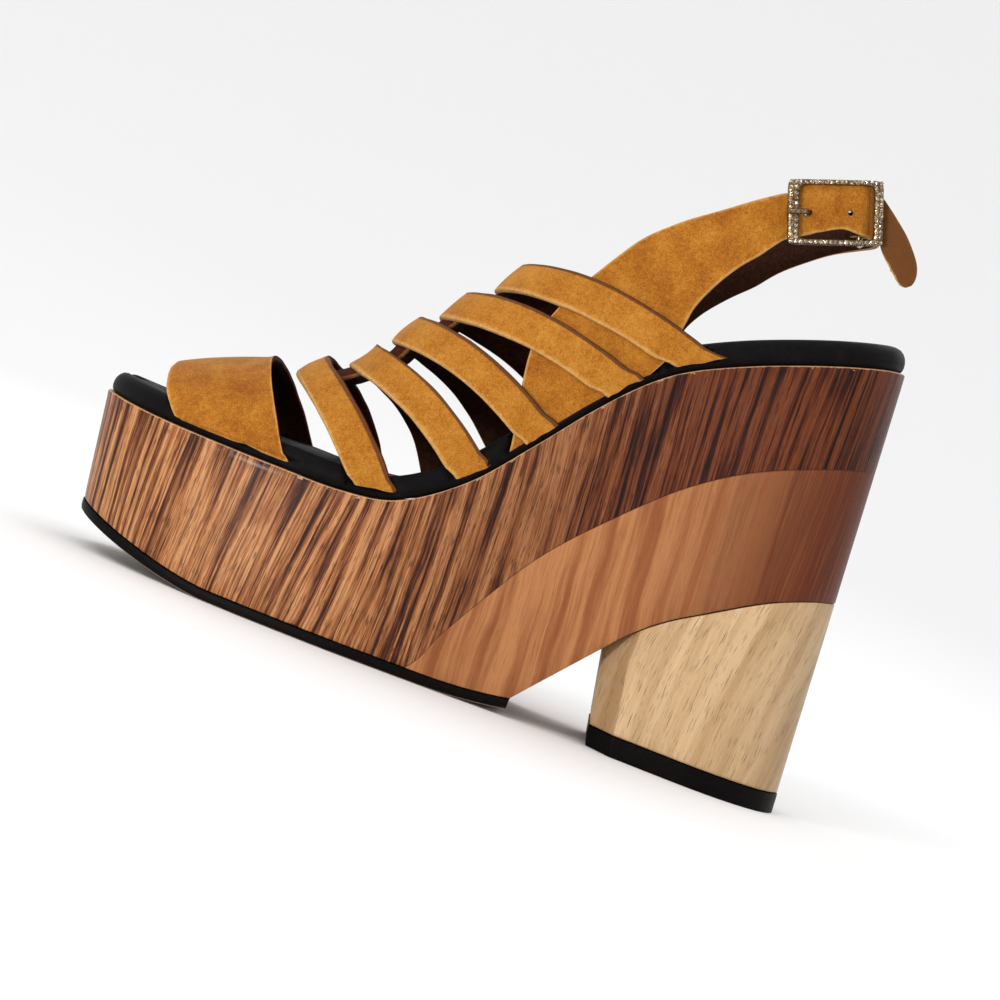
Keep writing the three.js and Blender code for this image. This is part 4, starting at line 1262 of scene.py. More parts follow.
@dataclass
class HeelPiece:
    """One slice of the block heel, whose front corners are bevelled; no head means the sloping joint."""

    name: str
    node: str
    slot: str
    foot: float
    head: float | None
    proud: float
    columns: int = 84
    rows: int = 12
    side_levels: int = 10
    round_edge: float = 0.35
    bevel_share: float = 0.2
    grain_length: float = 60.0
    wear_reach: float = 9.0

    def head_at(self, x: float) -> float:
        """Height of the slice's head."""
        return HEEL_JOINT(x) - FORM.gap * 0.2 if self.head is None else self.head

    def ends(self, z: float) -> tuple[float, float]:
        """Front and rear of the heel at a height."""
        full = HEEL_JOINT(FORM.heel_front_top)
        t = min(max((full - z) / full, 0), 1)
        front = FORM.heel_front_top + (FORM.heel_front_foot - FORM.heel_front_top) * t
        return front, FORM.heel_tip(z)

    def half(self, x: float, z: float, side: Side) -> float:
        """Half width, cut off by the bevels at the front corners."""
        return min(FORM.half_width(x, z, side), FORM.heel_front_half + max(x - self.ends(z)[0], 0))

    def build(self, finishes: Finishes) -> bpy.types.Object:
        """Builds the slice and dresses it."""
        levels = side_levels(self.round_edge, self.side_levels)
        counts = (self.columns, self.rows, len(levels) - 1)
        block = unit_block(self.name, *counts)
        shares = self.shares()

        def place(i: int, j: int, k: int) -> tuple[Vector, Vector]:
            """Place of a point of the slice."""
            across = -1 + 2 * j / self.rows
            side = Side.LATERAL if across < 0 else Side.MEDIAL
            height, inset, drop = levels[k]
            x, z = self.spot(shares[i], height)
            half = max(self.half(x, z, side), 0.0)
            forward = 0.0
            if shares[i] > 0.9:
                forward, part = FORM.edge_normal(x, z)
                half += (self.proud - inset) * part
            else:
                half += self.proud - inset
            if i == 0:
                forward = -1.0
            x += forward * (self.proud - inset)
            point = Vector((x, across * max(half, 0.0), z + drop))
            if i == 0:
                round_heel = across * FORM.heel_front_half
            else:
                round_heel = side.value * (shares[i] * self.grain_length + FORM.heel_front_half)
            return point, Vector((round_heel, z, min(z - self.foot, self.wear_reach)))

        lay(block, counts, place, {})
        tidy(block, 30.0, 0.02)
        finish = finishes.oak if self.slot == "oak_veneer" else finishes.top_lift
        fit(block, [finish], [self.node])
        return block

    def shares(self) -> list[float]:
        """Shares of the heel's length, close together at the bevel and round the back."""
        bevel = self.bevel_share
        front = [bevel * i / (self.columns // 3) for i in range(self.columns // 3)]
        rest = self.columns - len(front)
        back = [bevel + (1 - bevel) * math.sin(math.pi / 2 * i / rest) ** 0.9 for i in range(rest + 1)]
        return front + back

    def spot(self, share: float, height: float) -> tuple[float, float]:
        """Place along the shoe and height of a point of the slice's side."""
        x = FORM.heel_front_top + share * (FORM.heel_tip(FORM.heel_joint_rear) - FORM.heel_front_top)
        top = self.head_at(x)
        z = self.foot + (top - self.foot) * height
        front, back = self.ends(z)
        return front + (back - front) * share, z


# ------------------------------------------------------------------------------- the insole
@dataclass(frozen=True)
class StrapCut:
    """Narrow strap over the instep: its rib, how its rear edge stands up, and how its feet shift.

    The inner foot lies some ribs forward of the crest, and the outer flank some ribs behind it.
    """

    name: str
    at: float
    tilt: float
    medial_forward: float
    lift: float
    backward: float = 0.0
    width: float = 11.0
    crest_part: float = 0.35

    def edges(self, turn: float) -> tuple[float, float]:
        """Ribs of the front and rear edge at a turn."""
        crest = self.crest_part
        if turn > 0:
            centre = self.at - self.medial_forward * turn ** 2 + crest * self.backward * (1 - turn)
        else:
            flank = math.sin(math.pi * min(-turn, 0.75))
            centre = self.at + self.backward * (crest + (1 - crest) * flank)
        half = FORM.ribs_across(centre, turn, self.width)
        return centre - half, centre + half


STRAPS = (
    StrapCut("strap_1", 2, 2.2, 0.42, 1.2),
    StrapCut("strap_2", 3, 1.4, 0.5, 1.2),
    StrapCut("strap_3", 4, 1.0, 0.55, 1.62, 0.06),
    StrapCut("strap_4", 5, 1.4, 0.55, 1.62, 0.08),
    StrapCut("strap_5", 6, 1.6, 0.4, 1.62, 0.14),
)
# How far above the last's foot the straps and quarters end, so that the insole shows below them.
FOOT_LIFT = 1.6


def toe_strap_edges(turn: float) -> tuple[float, float]:
    """Ribs of the toe strap's front and rear edge at a turn."""
    return 0.12 - 0.36 * turn ** 2 * (1 - turn ** 2) - 0.03 * turn ** 8, 1.0


class EdgeTrack:
    """A strap's edge near its foot, as a place along the shoe for each height."""

    def __init__(self, edge: Callable[[float], float], side: Side) -> None:
        """Samples the edge from the foot up.

        Args:
            edge: Rib of the edge at a turn.
            side: Which foot of the strap.
        """
        count, step = 12, 0.016
        self.points = []
        for i in range(count):
            turn = side.value * (1 - step * i)
            point = FORM.last_surface(edge(turn), turn)
            self.points.append((point.z, point.x))

    def at(self, z: float) -> float:
        """Place along the shoe at a height."""
        i = 0
        while i < len(self.points) - 2 and z > self.points[i + 1][0]:
            i += 1
        (low, start), (high, end) = self.points[i], self.points[i + 1]
        return start + (end - start) * min((z - low) / max(high - low, 0.01), 1.0)


class FixedTrack:
    """An edge near its foot given by two points, as a place along the shoe for each height."""

    def __init__(self, points: tuple[tuple[float, float], tuple[float, float]]) -> None:
        """Keeps the two points, each a place along the shoe and a height."""
        (self.start, self.low), (self.end, self.high) = points

    def at(self, z: float) -> float:
        """Place along the shoe at a height."""
        return self.start + (self.end - self.start) * (z - self.low) / (self.high - self.low)


# Front and rear edge of each quarter's foot: two points each, as place along the shoe and height.
QUARTER_FEET = {
    Side.LATERAL: (((4.7, 70.0), (3.4, 80.0)), ((32.7, 103.4), (35.0, 109.0))),
    Side.MEDIAL: (((2.4, 67.0), (1.4, 78.0)), ((30.0, 100.5), (33.0, 107.6))),
}


Notch = tuple[EdgeTrack | FixedTrack, EdgeTrack | FixedTrack, float]


@dataclass
class Insole:
    """Firm black leather footbed with a rolled rim, notched where straps and quarters pass it."""

    columns: tuple[int, int, int] = (46, 190, 36)
    inner_rows: int = 10
    end_gap: float = 0.6
    side_gap: float = 0.35
    toe_rim: float = 6.9
    strap_notch: float = 2.4
    quarter_notch: float = 3.6
    notch_gap: float = 0.5
    notch_ease: float = 0.7

    def build(self, finishes: Finishes) -> bpy.types.Object:
        """Builds the insole and dresses it."""
        side_profile = [(1.1, 0.3), (0.55, 0.8), (0.15, 1.8), (0.0, 3.0), (0.15, 4.3), (0.7, 5.5), (1.6, 6.5)]
        top_profile = [(1.6, 6.5), (2.8, 7.05), (4.2, 7.0), (5.2, 6.55), (5.8, 6.3), (6.5, 6.5), (8.0, 6.75)]
        inner = self.inner_rows
        rows = 2 * (len(top_profile) - 1) + inner
        stations = rounded_places(*self.columns)
        counts = (len(stations) - 1, rows, len(side_profile) - 1)
        notches = self.notches()
        block = unit_block("leather_insole", *counts)
        first, last = FORM.toe_tip_top + self.end_gap, FORM.heel_tip_top - self.end_gap

        def rim_point(x: float, side: Side, inset: float, rise: float) -> Vector:
            """Point of the rim, moved inwards and clear of the notches."""
            slope = top_slope(x)
            if inset > side_profile[-1][0]:
                rise += (self.toe_rim - rise) * (1 - smoothstep(first + 2.0, first + 12.0, x))
            rise *= 1 + 0.09 * smoothstep(20.0, 60.0, x)
            spot_x, spot_z = x - math.sin(slope) * rise, TOP(x) + math.cos(slope) * rise
            depth = self.notch_depth(notches[side], spot_x, spot_z) if rise > FOOT_LIFT + 0.5 else 0.0
            ex, ey = FORM.edge(x, TOP(x), side, max(inset + self.side_gap, depth))
            slope = top_slope(ex)
            return Vector((ex - math.sin(slope) * rise, ey, TOP(ex) + math.cos(slope) * rise))

        def place(i: int, j: int, k: int) -> tuple[Vector, Vector]:
            """Place of a point of the insole."""
            x = first + (last - first) * stations[i]
            edge = len(top_profile) - 1
            side = Side.LATERAL if j <= rows / 2 else Side.MEDIAL
            step = min(j, rows - j)
            if 0 < k < counts[2]:
                return rim_point(x, side, *side_profile[k]), Vector((0, x, side_profile[k][1]))
            if k == 0 and step > 0:
                low = [rim_point(x, each, *side_profile[0]) for each in Side]
                return low[0].lerp(low[1], j / rows), Vector((0, x, 0))
            inset, rise = side_profile[k] if step == 0 else top_profile[min(step, edge)]
            if step <= edge:
                return rim_point(x, side, inset, rise), Vector((inset, x, rise))
            inset, rise = top_profile[edge]
            ends = [rim_point(x, each, inset, rise) for each in Side]
            t = (j - edge) / inner
            point = ends[0].lerp(ends[1], t)
            dent = math.sin(math.pi * t)
            point.z += 0.2 * dent - 0.5 * dent * smoothstep(0.55, 0.85, stations[i])
            return point, Vector((inset + 20 * dent, x, rise))

        lay(block, counts, place, {})
        tidy(block, 60.0, 0.015)
        fit(block, [finishes.leather], ["insole"])
        return block

    def notches(self) -> dict[Side, list[Notch]]:
        """Front edge, rear edge and depth of every notch on each side."""
        result: dict[Side, list[Notch]] = {}
        for side in Side:
            result[side] = []
            for edges in (toe_strap_edges, *(cut.edges for cut in STRAPS)):
                front = EdgeTrack(lambda turn, edges=edges: edges(turn)[0], side)
                rear = EdgeTrack(lambda turn, edges=edges: edges(turn)[1], side)
                result[side].append((front, rear, self.strap_notch))
            front, rear = (FixedTrack(edge) for edge in QUARTER_FEET[side])
            result[side].append((front, rear, self.quarter_notch))
        return result

    def notch_depth(self, notches: Sequence[Notch], x: float, z: float) -> float:
        """How far inside the outline the insole must stay at a point of the side view."""
        ease, deepest = self.notch_ease, 0.0
        for front, rear, depth in notches:
            start, end = front.at(z) - self.notch_gap, rear.at(z) + self.notch_gap
            part = smoothstep(start - ease, start, x) * (1 - smoothstep(end, end + ease, x))
            deepest = max(deepest, depth * part)
        return deepest


# ------------------------------------------------------------------------------- the upper
# Shares across a strap, then the pull-in and the share of the thickness of every row of its edge.
ACROSS = (0.0, 0.045, 0.13, 0.28, 0.5, 0.72, 0.87, 0.955, 1.0)
THROUGH = ((0.22, 0.0), (0.0, 0.3), (0.0, 0.66), (0.10, 0.9), (0.34, 1.0))
# Material number by side of a strap; number 3, the rear edge, takes the painted shade edge.
TRIM = {Face.OUTER: 0, Face.INNER: 1, Face.START: 2, Face.END: 2, Face.FRONT: 2, Face.REAR: 3}
# Half of a strap's length from foot to foot, for the lay of its suede.
HALF_ARCH = 55.0
# Lay across the suede where no painted shadow line follows the rear edge.
NO_SHADOW_LINE = 20.0


def pulled(share: float, pull: float, width: float) -> float:
    """Share across a strap, pulled in at its two edges by a distance."""
    if share == 0.0:
        return pull / width
    if share == 1.0:
        return 1.0 - pull / width
    return share


@dataclass
class InstepStrap:
    """One narrow suede strap, softly crowned, with cut edges and a dark lining."""

    cut: StrapCut
    wall: float = 1.5
    crown: float = 0.28
    steps: int = 120
    seed: float = 0.0

    def build(self, finishes: Finishes) -> bpy.types.Object:
        """Builds the strap and dresses it."""
        cut = self.cut
        counts = (self.steps, len(ACROSS) - 1, len(THROUGH) - 1)
        block = unit_block(cut.name, *counts)
        edges = [cut.edges(-1 + 2 * i / self.steps) for i in range(self.steps + 1)]

        def place(i: int, j: int, k: int) -> tuple[Vector, Vector]:
            """Place of a point of the strap."""
            turn = -1 + 2 * i / self.steps
            pull, through = THROUGH[k]
            share = ACROSS[j]
            ragged = waver(turn * 9, self.seed + share, 0.25)
            t = pulled(share, pull + ragged, cut.width)
            front, rear = edges[i]
            rise = cut.lift + cut.tilt * math.cos(turn * math.pi / 2) ** 2 * (2 * t - 1)
            rise += self.wall * through + 0.3 * share ** 3 * smoothstep(0.2, 0.6, abs(turn))
            if through == 1.0:
                rise += self.crown * (1 - (2 * t - 1) ** 2)
            point = FORM.last_point(front + (rear - front) * t, turn, rise)
            foot = smoothstep(0.94, 1.0, abs(turn))
            point.y -= math.copysign(0.55 * foot, turn)
            ragged_end = waver(share * 4, self.seed + 9 + turn, 1.0) * smoothstep(0.985, 1.0, abs(turn))
            point.z += FOOT_LIFT * foot + ragged_end
            from_edge = min(share, 1 - share) * cut.width
            lie = Vector((from_edge, (turn + 1) * HALF_ARCH, (1 - share) * cut.width))
            return point, lie

        lay(block, counts, place, TRIM)
        tidy(block, 55.0)
        trim = [finishes.strap_suede, finishes.lining, finishes.cut_edge, finishes.dark_edge]
        fit(block, trim, ["upper"])
        return block


@dataclass
class ToeStrap:
    """Broad suede strap over the toes."""

    wall: float = 1.5
    lift: float = 1.2
    steps: int = 132
    width: float = 34.0
    across: tuple[float, ...] = (
        0.0, 0.015, 0.045, 0.1, 0.2, 0.32, 0.45, 0.58, 0.7, 0.8, 0.88, 0.94, 0.97, 0.99, 1.0,
    )

    def build(self, finishes: Finishes) -> bpy.types.Object:
        """Builds the strap and dresses it."""
        counts = (self.steps, len(self.across) - 1, len(THROUGH) - 1)
        block = unit_block("toe_strap_suede", *counts)

        def place(i: int, j: int, k: int) -> tuple[Vector, Vector]:
            """Place of a point of the strap."""
            turn = -1 + 2 * i / self.steps
            pull, through = THROUGH[k]
            share = self.across[j]
            t = pulled(share, pull + waver(turn * 8, 4.0 + share, 0.25), self.width)
            front, rear = toe_strap_edges(turn)
            rise = self.lift - 1.2 * (1 - t) ** 4 * math.cos(turn * math.pi / 2) + self.wall * through
            rise += 0.5 * smoothstep(0.9, 1.0, t) * math.cos(turn * math.pi / 2)
            point = FORM.last_point(front + (rear - front) * t, turn, rise)
            point.y -= math.copysign(0.5 * smoothstep(0.96, 1.0, abs(turn)), turn)
            point.z += FOOT_LIFT * smoothstep(0.93, 1.0, abs(turn))
            point.z += waver(share * 9, 14 + turn, 0.9) * smoothstep(0.985, 1.0, abs(turn))
            foot = (1 - abs(turn)) * 60
            from_edge = min(min(share, 1 - share) * self.width, foot + 0.4)
            return point, Vector((from_edge, (turn + 1) * HALF_ARCH, self.width))

        lay(block, counts, place, TRIM)
        tidy(block, 55.0)
        trim = [finishes.toe_suede, finishes.lining, finishes.cut_edge, finishes.dark_edge]
        fit(block, trim, ["toe_strap"])
        return block


@dataclass(frozen=True)
class BuckleSeat:
    """Where the buckle sits: u runs towards the heel, v up and w out from its middle."""

    centre: tuple[float, float, float] = (67.2, -29.4, 170.8)
    rise: float = 20.1
    yaw: float = 4.0
    pin_u: float = 8.4
    pin_w: float = -7.4
    pin_radius: float = 0.9

    def matrix(self) -> Matrix:
        """Turns and moves from the buckle's frame to the shoe's."""
        rise, yaw = math.radians(self.rise), math.radians(self.yaw)
        u = Vector((math.cos(rise) * math.cos(yaw), math.sin(yaw), math.sin(rise) * math.cos(yaw)))
        v = Vector((-math.sin(rise), 0, math.cos(rise)))
        w = u.cross(v).normalized()
        turned = Matrix((u, w.cross(u), w)).transposed().to_4x4()
        return Matrix.Translation(self.centre) @ turned

    def point(self, u: float, v: float, w: float) -> Vector:
        """Point of the shoe's frame."""
        return self.matrix() @ Vector((u, v, w))


SEAT = BuckleSeat()
# Place of a hole along the buckle, and half its length and height.
Hole = tuple[float, float, float]
EdgeRow = tuple[float, float | None, float, float | None, float | None, float | None]
# Front edge x, z and rear edge x, z in the side view, then their distances from the shoe's middle,
# or None where the quarter follows the last.
QUARTER_OUTER: list[EdgeRow] = [
    (4.7, None, 32.7, None, None, None), (3.4, 80, 35, 109, None, None), (0.8, 92, 37.4, 114, None, None),
    (-0.4, 103.8, 38.4, 120, None, None), (2.1, 114.7, 38.6, 125.2, None, None),
    (8.5, 128.5, 39.6, 131, None, None), (17.2, 143.1, 42.2, 137.4, 22.2, 27.4),
    (26.1, 152.1, 46.4, 145.0, 25.2, 28.2), (39, 161.8, 52.2, 152.4, 27.4, 28.4),
    (50.4, 170.4, 55.8, 157.8, 27.2, 27.2),
]
# Front edge u, v and rear edge u, v in the buckle's frame, then the inner face's w.
STRAP_END = [
    (-11.6, 5.4, -11.2, -7.3, -3.0), (-9.6, 8.4, -7.2, -6.4, -2.7), (-5.0, 9.0, -4.6, -5.8, -2.2),
    (2.5, 9.0, 2.5, -4.6, -2.3), (7.8, 9.0, 7.8, -6.4, -2.2), (10.4, 8.6, 10.0, -7.2, -3.8),
    (13.9, 5.4, 13.4, -8.2, -3.6),
    (17.3, 0.4, 14.6, -11.8, -3.2), (21.2, -6.0, 16.2, -14.8, -3.0), (24.0, -12.6, 17.7, -17.4, -3.2),
    (24.5, -16.6, 18.8, -19.3, -3.5), (23.9, -19.0, 20.1, -20.5, -3.7), (22.9, -20.4, 21.2, -20.9, -3.8),
]
QUARTER_INNER: list[EdgeRow] = [
    (2.4, None, 30, None, None, None), (1.4, 78, 33, 107.6, None, None), (-0.8, 91, 35.6, 112, None, None),
    (-1.4, 102.4, 37, 117.4, None, None), (1.4, 113.4, 38, 122, None, None),
    (8, 127, 39.6, 127.8, None, None), (17.2, 139.6, 42.4, 133.2, 21.4, 26.8),
    (27, 148, 47.4, 139.8, 24.6, 27.4), (41, 158, 55.4, 148.2, 26.8, 27.4),
    (53, 167.2, 60.6, 154.6, 26.6, 27), (64.4, 173.8, 68.8, 161.8, 24.6, 25),
    (73.6, 177.6, 75.6, 166.4, 20.4, 21.4), (79.0, 179.2, 80.2, 168.4, 13.4, 14.2),
    (81.3, 179.8, 82.4, 169.0, 4.6, 5), (81.6, 179.8, 82.6, 169.0, -5, -5.2),
    (81.0, 179.6, 82.2, 168.8, -12.6, -12.8), (78.2, 179.2, 80.2, 168.4, -18.2, -18.4),
]


def through_points(points: Sequence[Vector], place: float) -> Vector:
    """Point of a smooth curve through points, the place counted in points."""
    last = len(points) - 1
    i = min(int(place), last - 1)
    t = place - i
    a, b, c, d = (points[min(max(i + step, 0), last)] for step in (-1, 0, 1, 2))
    square, cube = 2 * a - 5 * b + 4 * c - d, 3 * b - a - 3 * c + d
    return 0.5 * (2 * b + (c - a) * t + square * t ** 2 + cube * t ** 3)


@dataclass
class Quarter:
    """Suede quarter that rises from the insole's edge and runs out into the heel strap."""

    name: str
    side: Side
    rows: list[EdgeRow]
    tail: list[tuple[Vector, Vector]]
    holes: tuple[Hole, ...] = ()
    wall: float = 1.5
    per_row: int = 8
    row_length: float = 9.0
    columns: int = 4

    def net(self) -> list[list[Vector]]:
        """Points that the sheet's inner face passes through, row by row."""
        rows = []
        for front_x, front_z, rear_x, rear_z, front_y, rear_y in self.rows:
            row = []
            for column in range(self.columns + 1):
                t = column / self.columns
                x = front_x + (rear_x - front_x) * t
                if front_z is None or rear_z is None:
                    z = TOP(x) + FORM.foot_gap + FOOT_LIFT
                else:
                    z = front_z + (rear_z - front_z) * t
                if front_y is None or rear_y is None:
                    y = FORM.last_half(x, z, self.side) * self.side.value
                else:
                    y = (front_y + (rear_y - front_y) * t) * self.side.value
                row.append(Vector((x, y, z)))
            rows.append(row)
        for front, rear in self.tail:
            rows.append([front.lerp(rear, column / self.columns) for column in range(self.columns + 1)])
        return rows

    def build(self, finishes: Finishes) -> bpy.types.Object:
        """Builds the quarter and dresses it."""
        net = self.net()
        steps = (len(net) - 1) * self.per_row
        counts = (steps, len(ACROSS) - 1, len(THROUGH) - 1)
        block = unit_block(self.name, *counts)

        def face(place: float, share: float) -> Vector:
            """Point of the inner face."""
            columns = [through_points([row[c] for row in net], place) for c in range(self.columns + 1)]
            return through_points(columns, share * self.columns)

        def place(i: int, j: int, k: int) -> tuple[Vector, Vector]:
            """Place of a point of the quarter."""
            row = i / self.per_row
            pull, through = THROUGH[k]
            share = ACROSS[j]
            width = (face(row, 1.0) - face(row, 0.0)).length
            t = pulled(share, min(pull + waver(row * 1.3, share * 5, 0.3), width * 0.3), width)
            base = face(row, t)
            up = face(min(row + 0.05, len(net) - 1), t) - face(max(row - 0.05, 0), t)
            over = face(row, min(t + 0.02, 1)) - face(row, max(t - 0.02, 0))
            normal = up.cross(over).normalized() * self.side.value
            point = base + normal * self.wall * through
            lie = Vector((min(share, 1 - share) * width, row * self.row_length, NO_SHADOW_LINE))
            return point, lie

        lay(block, counts, place, {**TRIM, Face.REAR: 2})
        tidy(block, 55.0)
        self.punch(block)
        trim = [finishes.quarter_suede, finishes.lining, finishes.cut_edge, finishes.dark_edge]
        fit(block, trim, ["upper"])
        return block

    def punch(self, block: bpy.types.Object) -> None:
        """Punches the strap's holes."""
        inner_end, reach = -6, 7
        for number, (u, half_length, half_height) in enumerate(self.holes):
            punch = unit_rod(f"punch_{number}", 20, 1)
            for vertex in punch.data.vertices:
                x, y, z = vertex.co
                vertex.co = SEAT.point(u + x * half_length, y * half_height, inner_end + z * reach) * MM
            punch.data.update()
            tidy(punch)
            apply_modifier(block, "BOOLEAN", operation="DIFFERENCE", object=punch, solver="EXACT")
            bpy.data.objects.remove(punch)


@dataclass
class InstepStrip:
    """Narrow strip that runs lengthwise under the instep straps and holds them together."""

    first: float = 1.93
    last: float = 5.0
    half_turn: float = 0.3
    wall: float = 1.3
    width: float = 20.0
    steps: int = 80
    rib_length: float = 15.0

    def build(self, finishes: Finishes) -> bpy.types.Object:
        """Builds the strip and dresses it."""
        counts = (self.steps, len(ACROSS) - 1, len(THROUGH) - 1)
        block = unit_block("instep_strip", *counts)

        def place(i: int, j: int, k: int) -> tuple[Vector, Vector]:
            """Place of a point of the strip."""
            pull, through = THROUGH[k]
            at = self.first + (self.last - self.first) * i / self.steps
            t = pulled(ACROSS[j], pull, self.width)
            turn = self.half_turn * (2 * t - 1)
            sag = -0.1 - 3.4 * math.sin(math.pi * at) ** 2 * (1 if at < 2 else 0.3)
            point = FORM.last_point(at, turn, sag + self.wall * through)
            return point, Vector((min(t, 1 - t) * self.width, at * self.rib_length, NO_SHADOW_LINE))

        lay(block, counts, place, TRIM)
        tidy(block, 55.0)
        # The strip's outer face and rear edge take the painted shade edge, as they lie in shade between the
        # straps.
        trim = [finishes.dark_edge, finishes.lining, finishes.strip_edge, finishes.dark_edge]
        fit(block, trim, ["upper"])
        return block


# ------------------------------------------------------------------------------- the buckle
@dataclass
class Buckle:
    """Rectangular frame set with small stones, its hidden pin and the prong."""

    length: float = 27.9
    height: float = 19.0
    depth: float = 2.0
    left: float = 3.4
    right: float = 2.8
    rail: float = 1.6
    around: int = 72
    section: int = 16
    corner_power: float = 12.0
    bar_power: float = 2.4
    prong_radius: float = 0.85
    lug_radius: float = 0.75
    stone_depth: float = 0.55

    def build(self, finishes: Finishes) -> None:
        """Builds the buckle's pieces and dresses them."""
        frame = joined("buckle_body", [self.frame(), self.pin(), *self.lugs()])
        tidy(frame, 35.0, 0.005)
        fit(frame, [finishes.gold], ["buckle_frame"])
        stones = self.stones()
        fit(stones, [finishes.stone], ["buckle_frame"])
        prong = self.prong()
        fit(prong, [finishes.gold], ["buckle_prong"])

    def frame(self) -> bpy.types.Object:
        """Ring of the frame, of rounded bars."""
        deselect()
        bpy.ops.mesh.primitive_torus_add(
            major_segments=self.around, minor_segments=self.section, major_radius=1, minor_radius=0.25
        )
        ring = bpy.context.object
        half_x, half_y = self.length / 2, self.height / 2
        for vertex in ring.data.vertices:
            angle = math.atan2(vertex.co.y, vertex.co.x)
            round_bar = math.atan2(vertex.co.z, math.hypot(vertex.co.x, vertex.co.y) - 1)
            x_way = self.squared(math.cos(angle), self.corner_power)
            y_way = self.squared(math.sin(angle), self.corner_power)
            outer = Vector((half_x * x_way, half_y * y_way))
            window = (half_x - (self.right if x_way > 0 else self.left), half_y - self.rail)
            inner = Vector((window[0] * x_way, window[1] * y_way))
            t = 0.5 + 0.5 * self.squared(math.cos(round_bar), self.bar_power)
            flat = inner.lerp(outer, t)
            w = self.depth / 2 * self.squared(math.sin(round_bar), self.bar_power)
            vertex.co = SEAT.point(flat.x, flat.y, w) * MM
        ring.data.update()
        return ring

    @staticmethod
    def squared(value: float, power: float) -> float:
        """Sine or cosine of a circle bent towards a square."""
        return math.copysign(abs(value) ** (2 / power), value) if abs(value) > 1e-6 else 0.0

    def rod(self, name: str, path: Sequence[Vector], radius: float, sides: int = 14) -> bpy.types.Object:
        """Round rod laid along a smooth path in the buckle's frame."""
        steps = (len(path) - 1) * 6
        rod = unit_rod(name, sides, steps)
        for vertex in rod.data.vertices:
            place = vertex.co.z * (len(path) - 1)
            centre = through_points(path, min(place, len(path) - 1 - 1e-6))
            ahead = through_points(path, min(place + 0.05, len(path) - 1 - 1e-6))
            behind = through_points(path, max(place - 0.05, 0.0))
            along = (ahead - behind).normalized()
            side = Vector((0, 1, 0)) if abs(along.y) < 0.9 else Vector((1, 0, 0))
            normal = along.cross(side).normalized()
            spot = centre + side * vertex.co.x * radius + normal * vertex.co.y * radius
            vertex.co = SEAT.point(*spot) * MM
        rod.data.update()
        return rod

    def pin(self) -> bpy.types.Object:
        """Hidden pin behind the frame."""
        reach = self.height / 2 - self.rail / 2
        path = [Vector((SEAT.pin_u, -reach + reach * i, SEAT.pin_w)) for i in range(3)]
        return self.rod("pin", path, SEAT.pin_radius)

    def lugs(self) -> list[bpy.types.Object]:
        """Two ears that hold the pin to the frame."""
        lugs = []
        for end in (-1, 1):
            middle = end * (self.height / 2 - self.rail / 2)
            path = [Vector((SEAT.pin_u, middle, w)) for w in (SEAT.pin_w - 0.4, SEAT.pin_w / 2, -0.4)]
            lugs.append(self.rod(f"lug_{end}", path, self.lug_radius))
        return lugs

    def prong(self) -> bpy.types.Object:
        """Prong: a ring on the pin and a shank that comes up through the strap onto the front bar."""
        rows = [
            (SEAT.pin_u - 1.5, SEAT.pin_w + 0.3), (0, -5.2), (-6.4, -4.2), (-7.9, -0.6), (-8.9, 1.7),
            (-11.2, 1.95), (-13.6, 1.75),
        ]
        path = [Vector((u, 0, w)) for u, w in rows]
        shank = self.rod("shank", path, self.prong_radius)
        turns = 9
        radius = SEAT.pin_radius + 0.35 + self.prong_radius * 0.7
        loop = [
            Vector((SEAT.pin_u + radius * math.cos(a), 0, SEAT.pin_w + radius * math.sin(a)))
            for a in (2 * math.pi * i / (turns - 1) for i in range(turns))
        ]
        ring = self.rod("ring", loop, self.prong_radius * 0.75, 10)
        prong = joined("prong", [shank, ring])
        tidy(prong, 35.0, 0.005)
        return prong

    def stones(self) -> bpy.types.Object:
        """Small cut stones set all over the frame's face."""
        chance = random.Random(11)
        half_x, half_y = self.length / 2, self.height / 2
        spots = []
        in_column, in_row = 12, 15
        for column in (-half_x + 1.0, -half_x + 2.5, half_x - 0.85, half_x - 2.1):
            step = (self.height - 1.8) / (in_column - 1)
            spots += [(column, -half_y + 0.9 + step * i) for i in range(in_column)]
        for level in (-half_y + 0.8, half_y - 0.8):
            step = (self.length - 7.4) / (in_row - 1)
            spots += [(-half_x + 3.9 + step * i, level) for i in range(in_row)]
        deselect()
        bpy.ops.mesh.primitive_ico_sphere_add(subdivisions=1, radius=1)
        pattern = bpy.context.object
        stones = []
        for u, v in spots:
            if abs(v) < 0.9 and u < -half_x + 3:
                continue
            stone = bpy.data.objects.new("stone", pattern.data.copy())
            bpy.context.scene.collection.objects.link(stone)
            size = chance.uniform(0.66, 0.84)
            spun = Matrix.Rotation(chance.uniform(0, 6.28), 3, "Z")
            turn = spun @ Matrix.Rotation(chance.uniform(-0.5, 0.5), 3, "X")
            for vertex in stone.data.vertices:
                spot = turn @ Vector(vertex.co) * size
                out = self.depth / 2 + spot.z * self.stone_depth
                vertex.co = SEAT.point(u + spot.x, v + spot.y, out) * MM
            stones.append(stone)
        bpy.data.objects.remove(pattern)
        return joined("buckle_stones", stones)


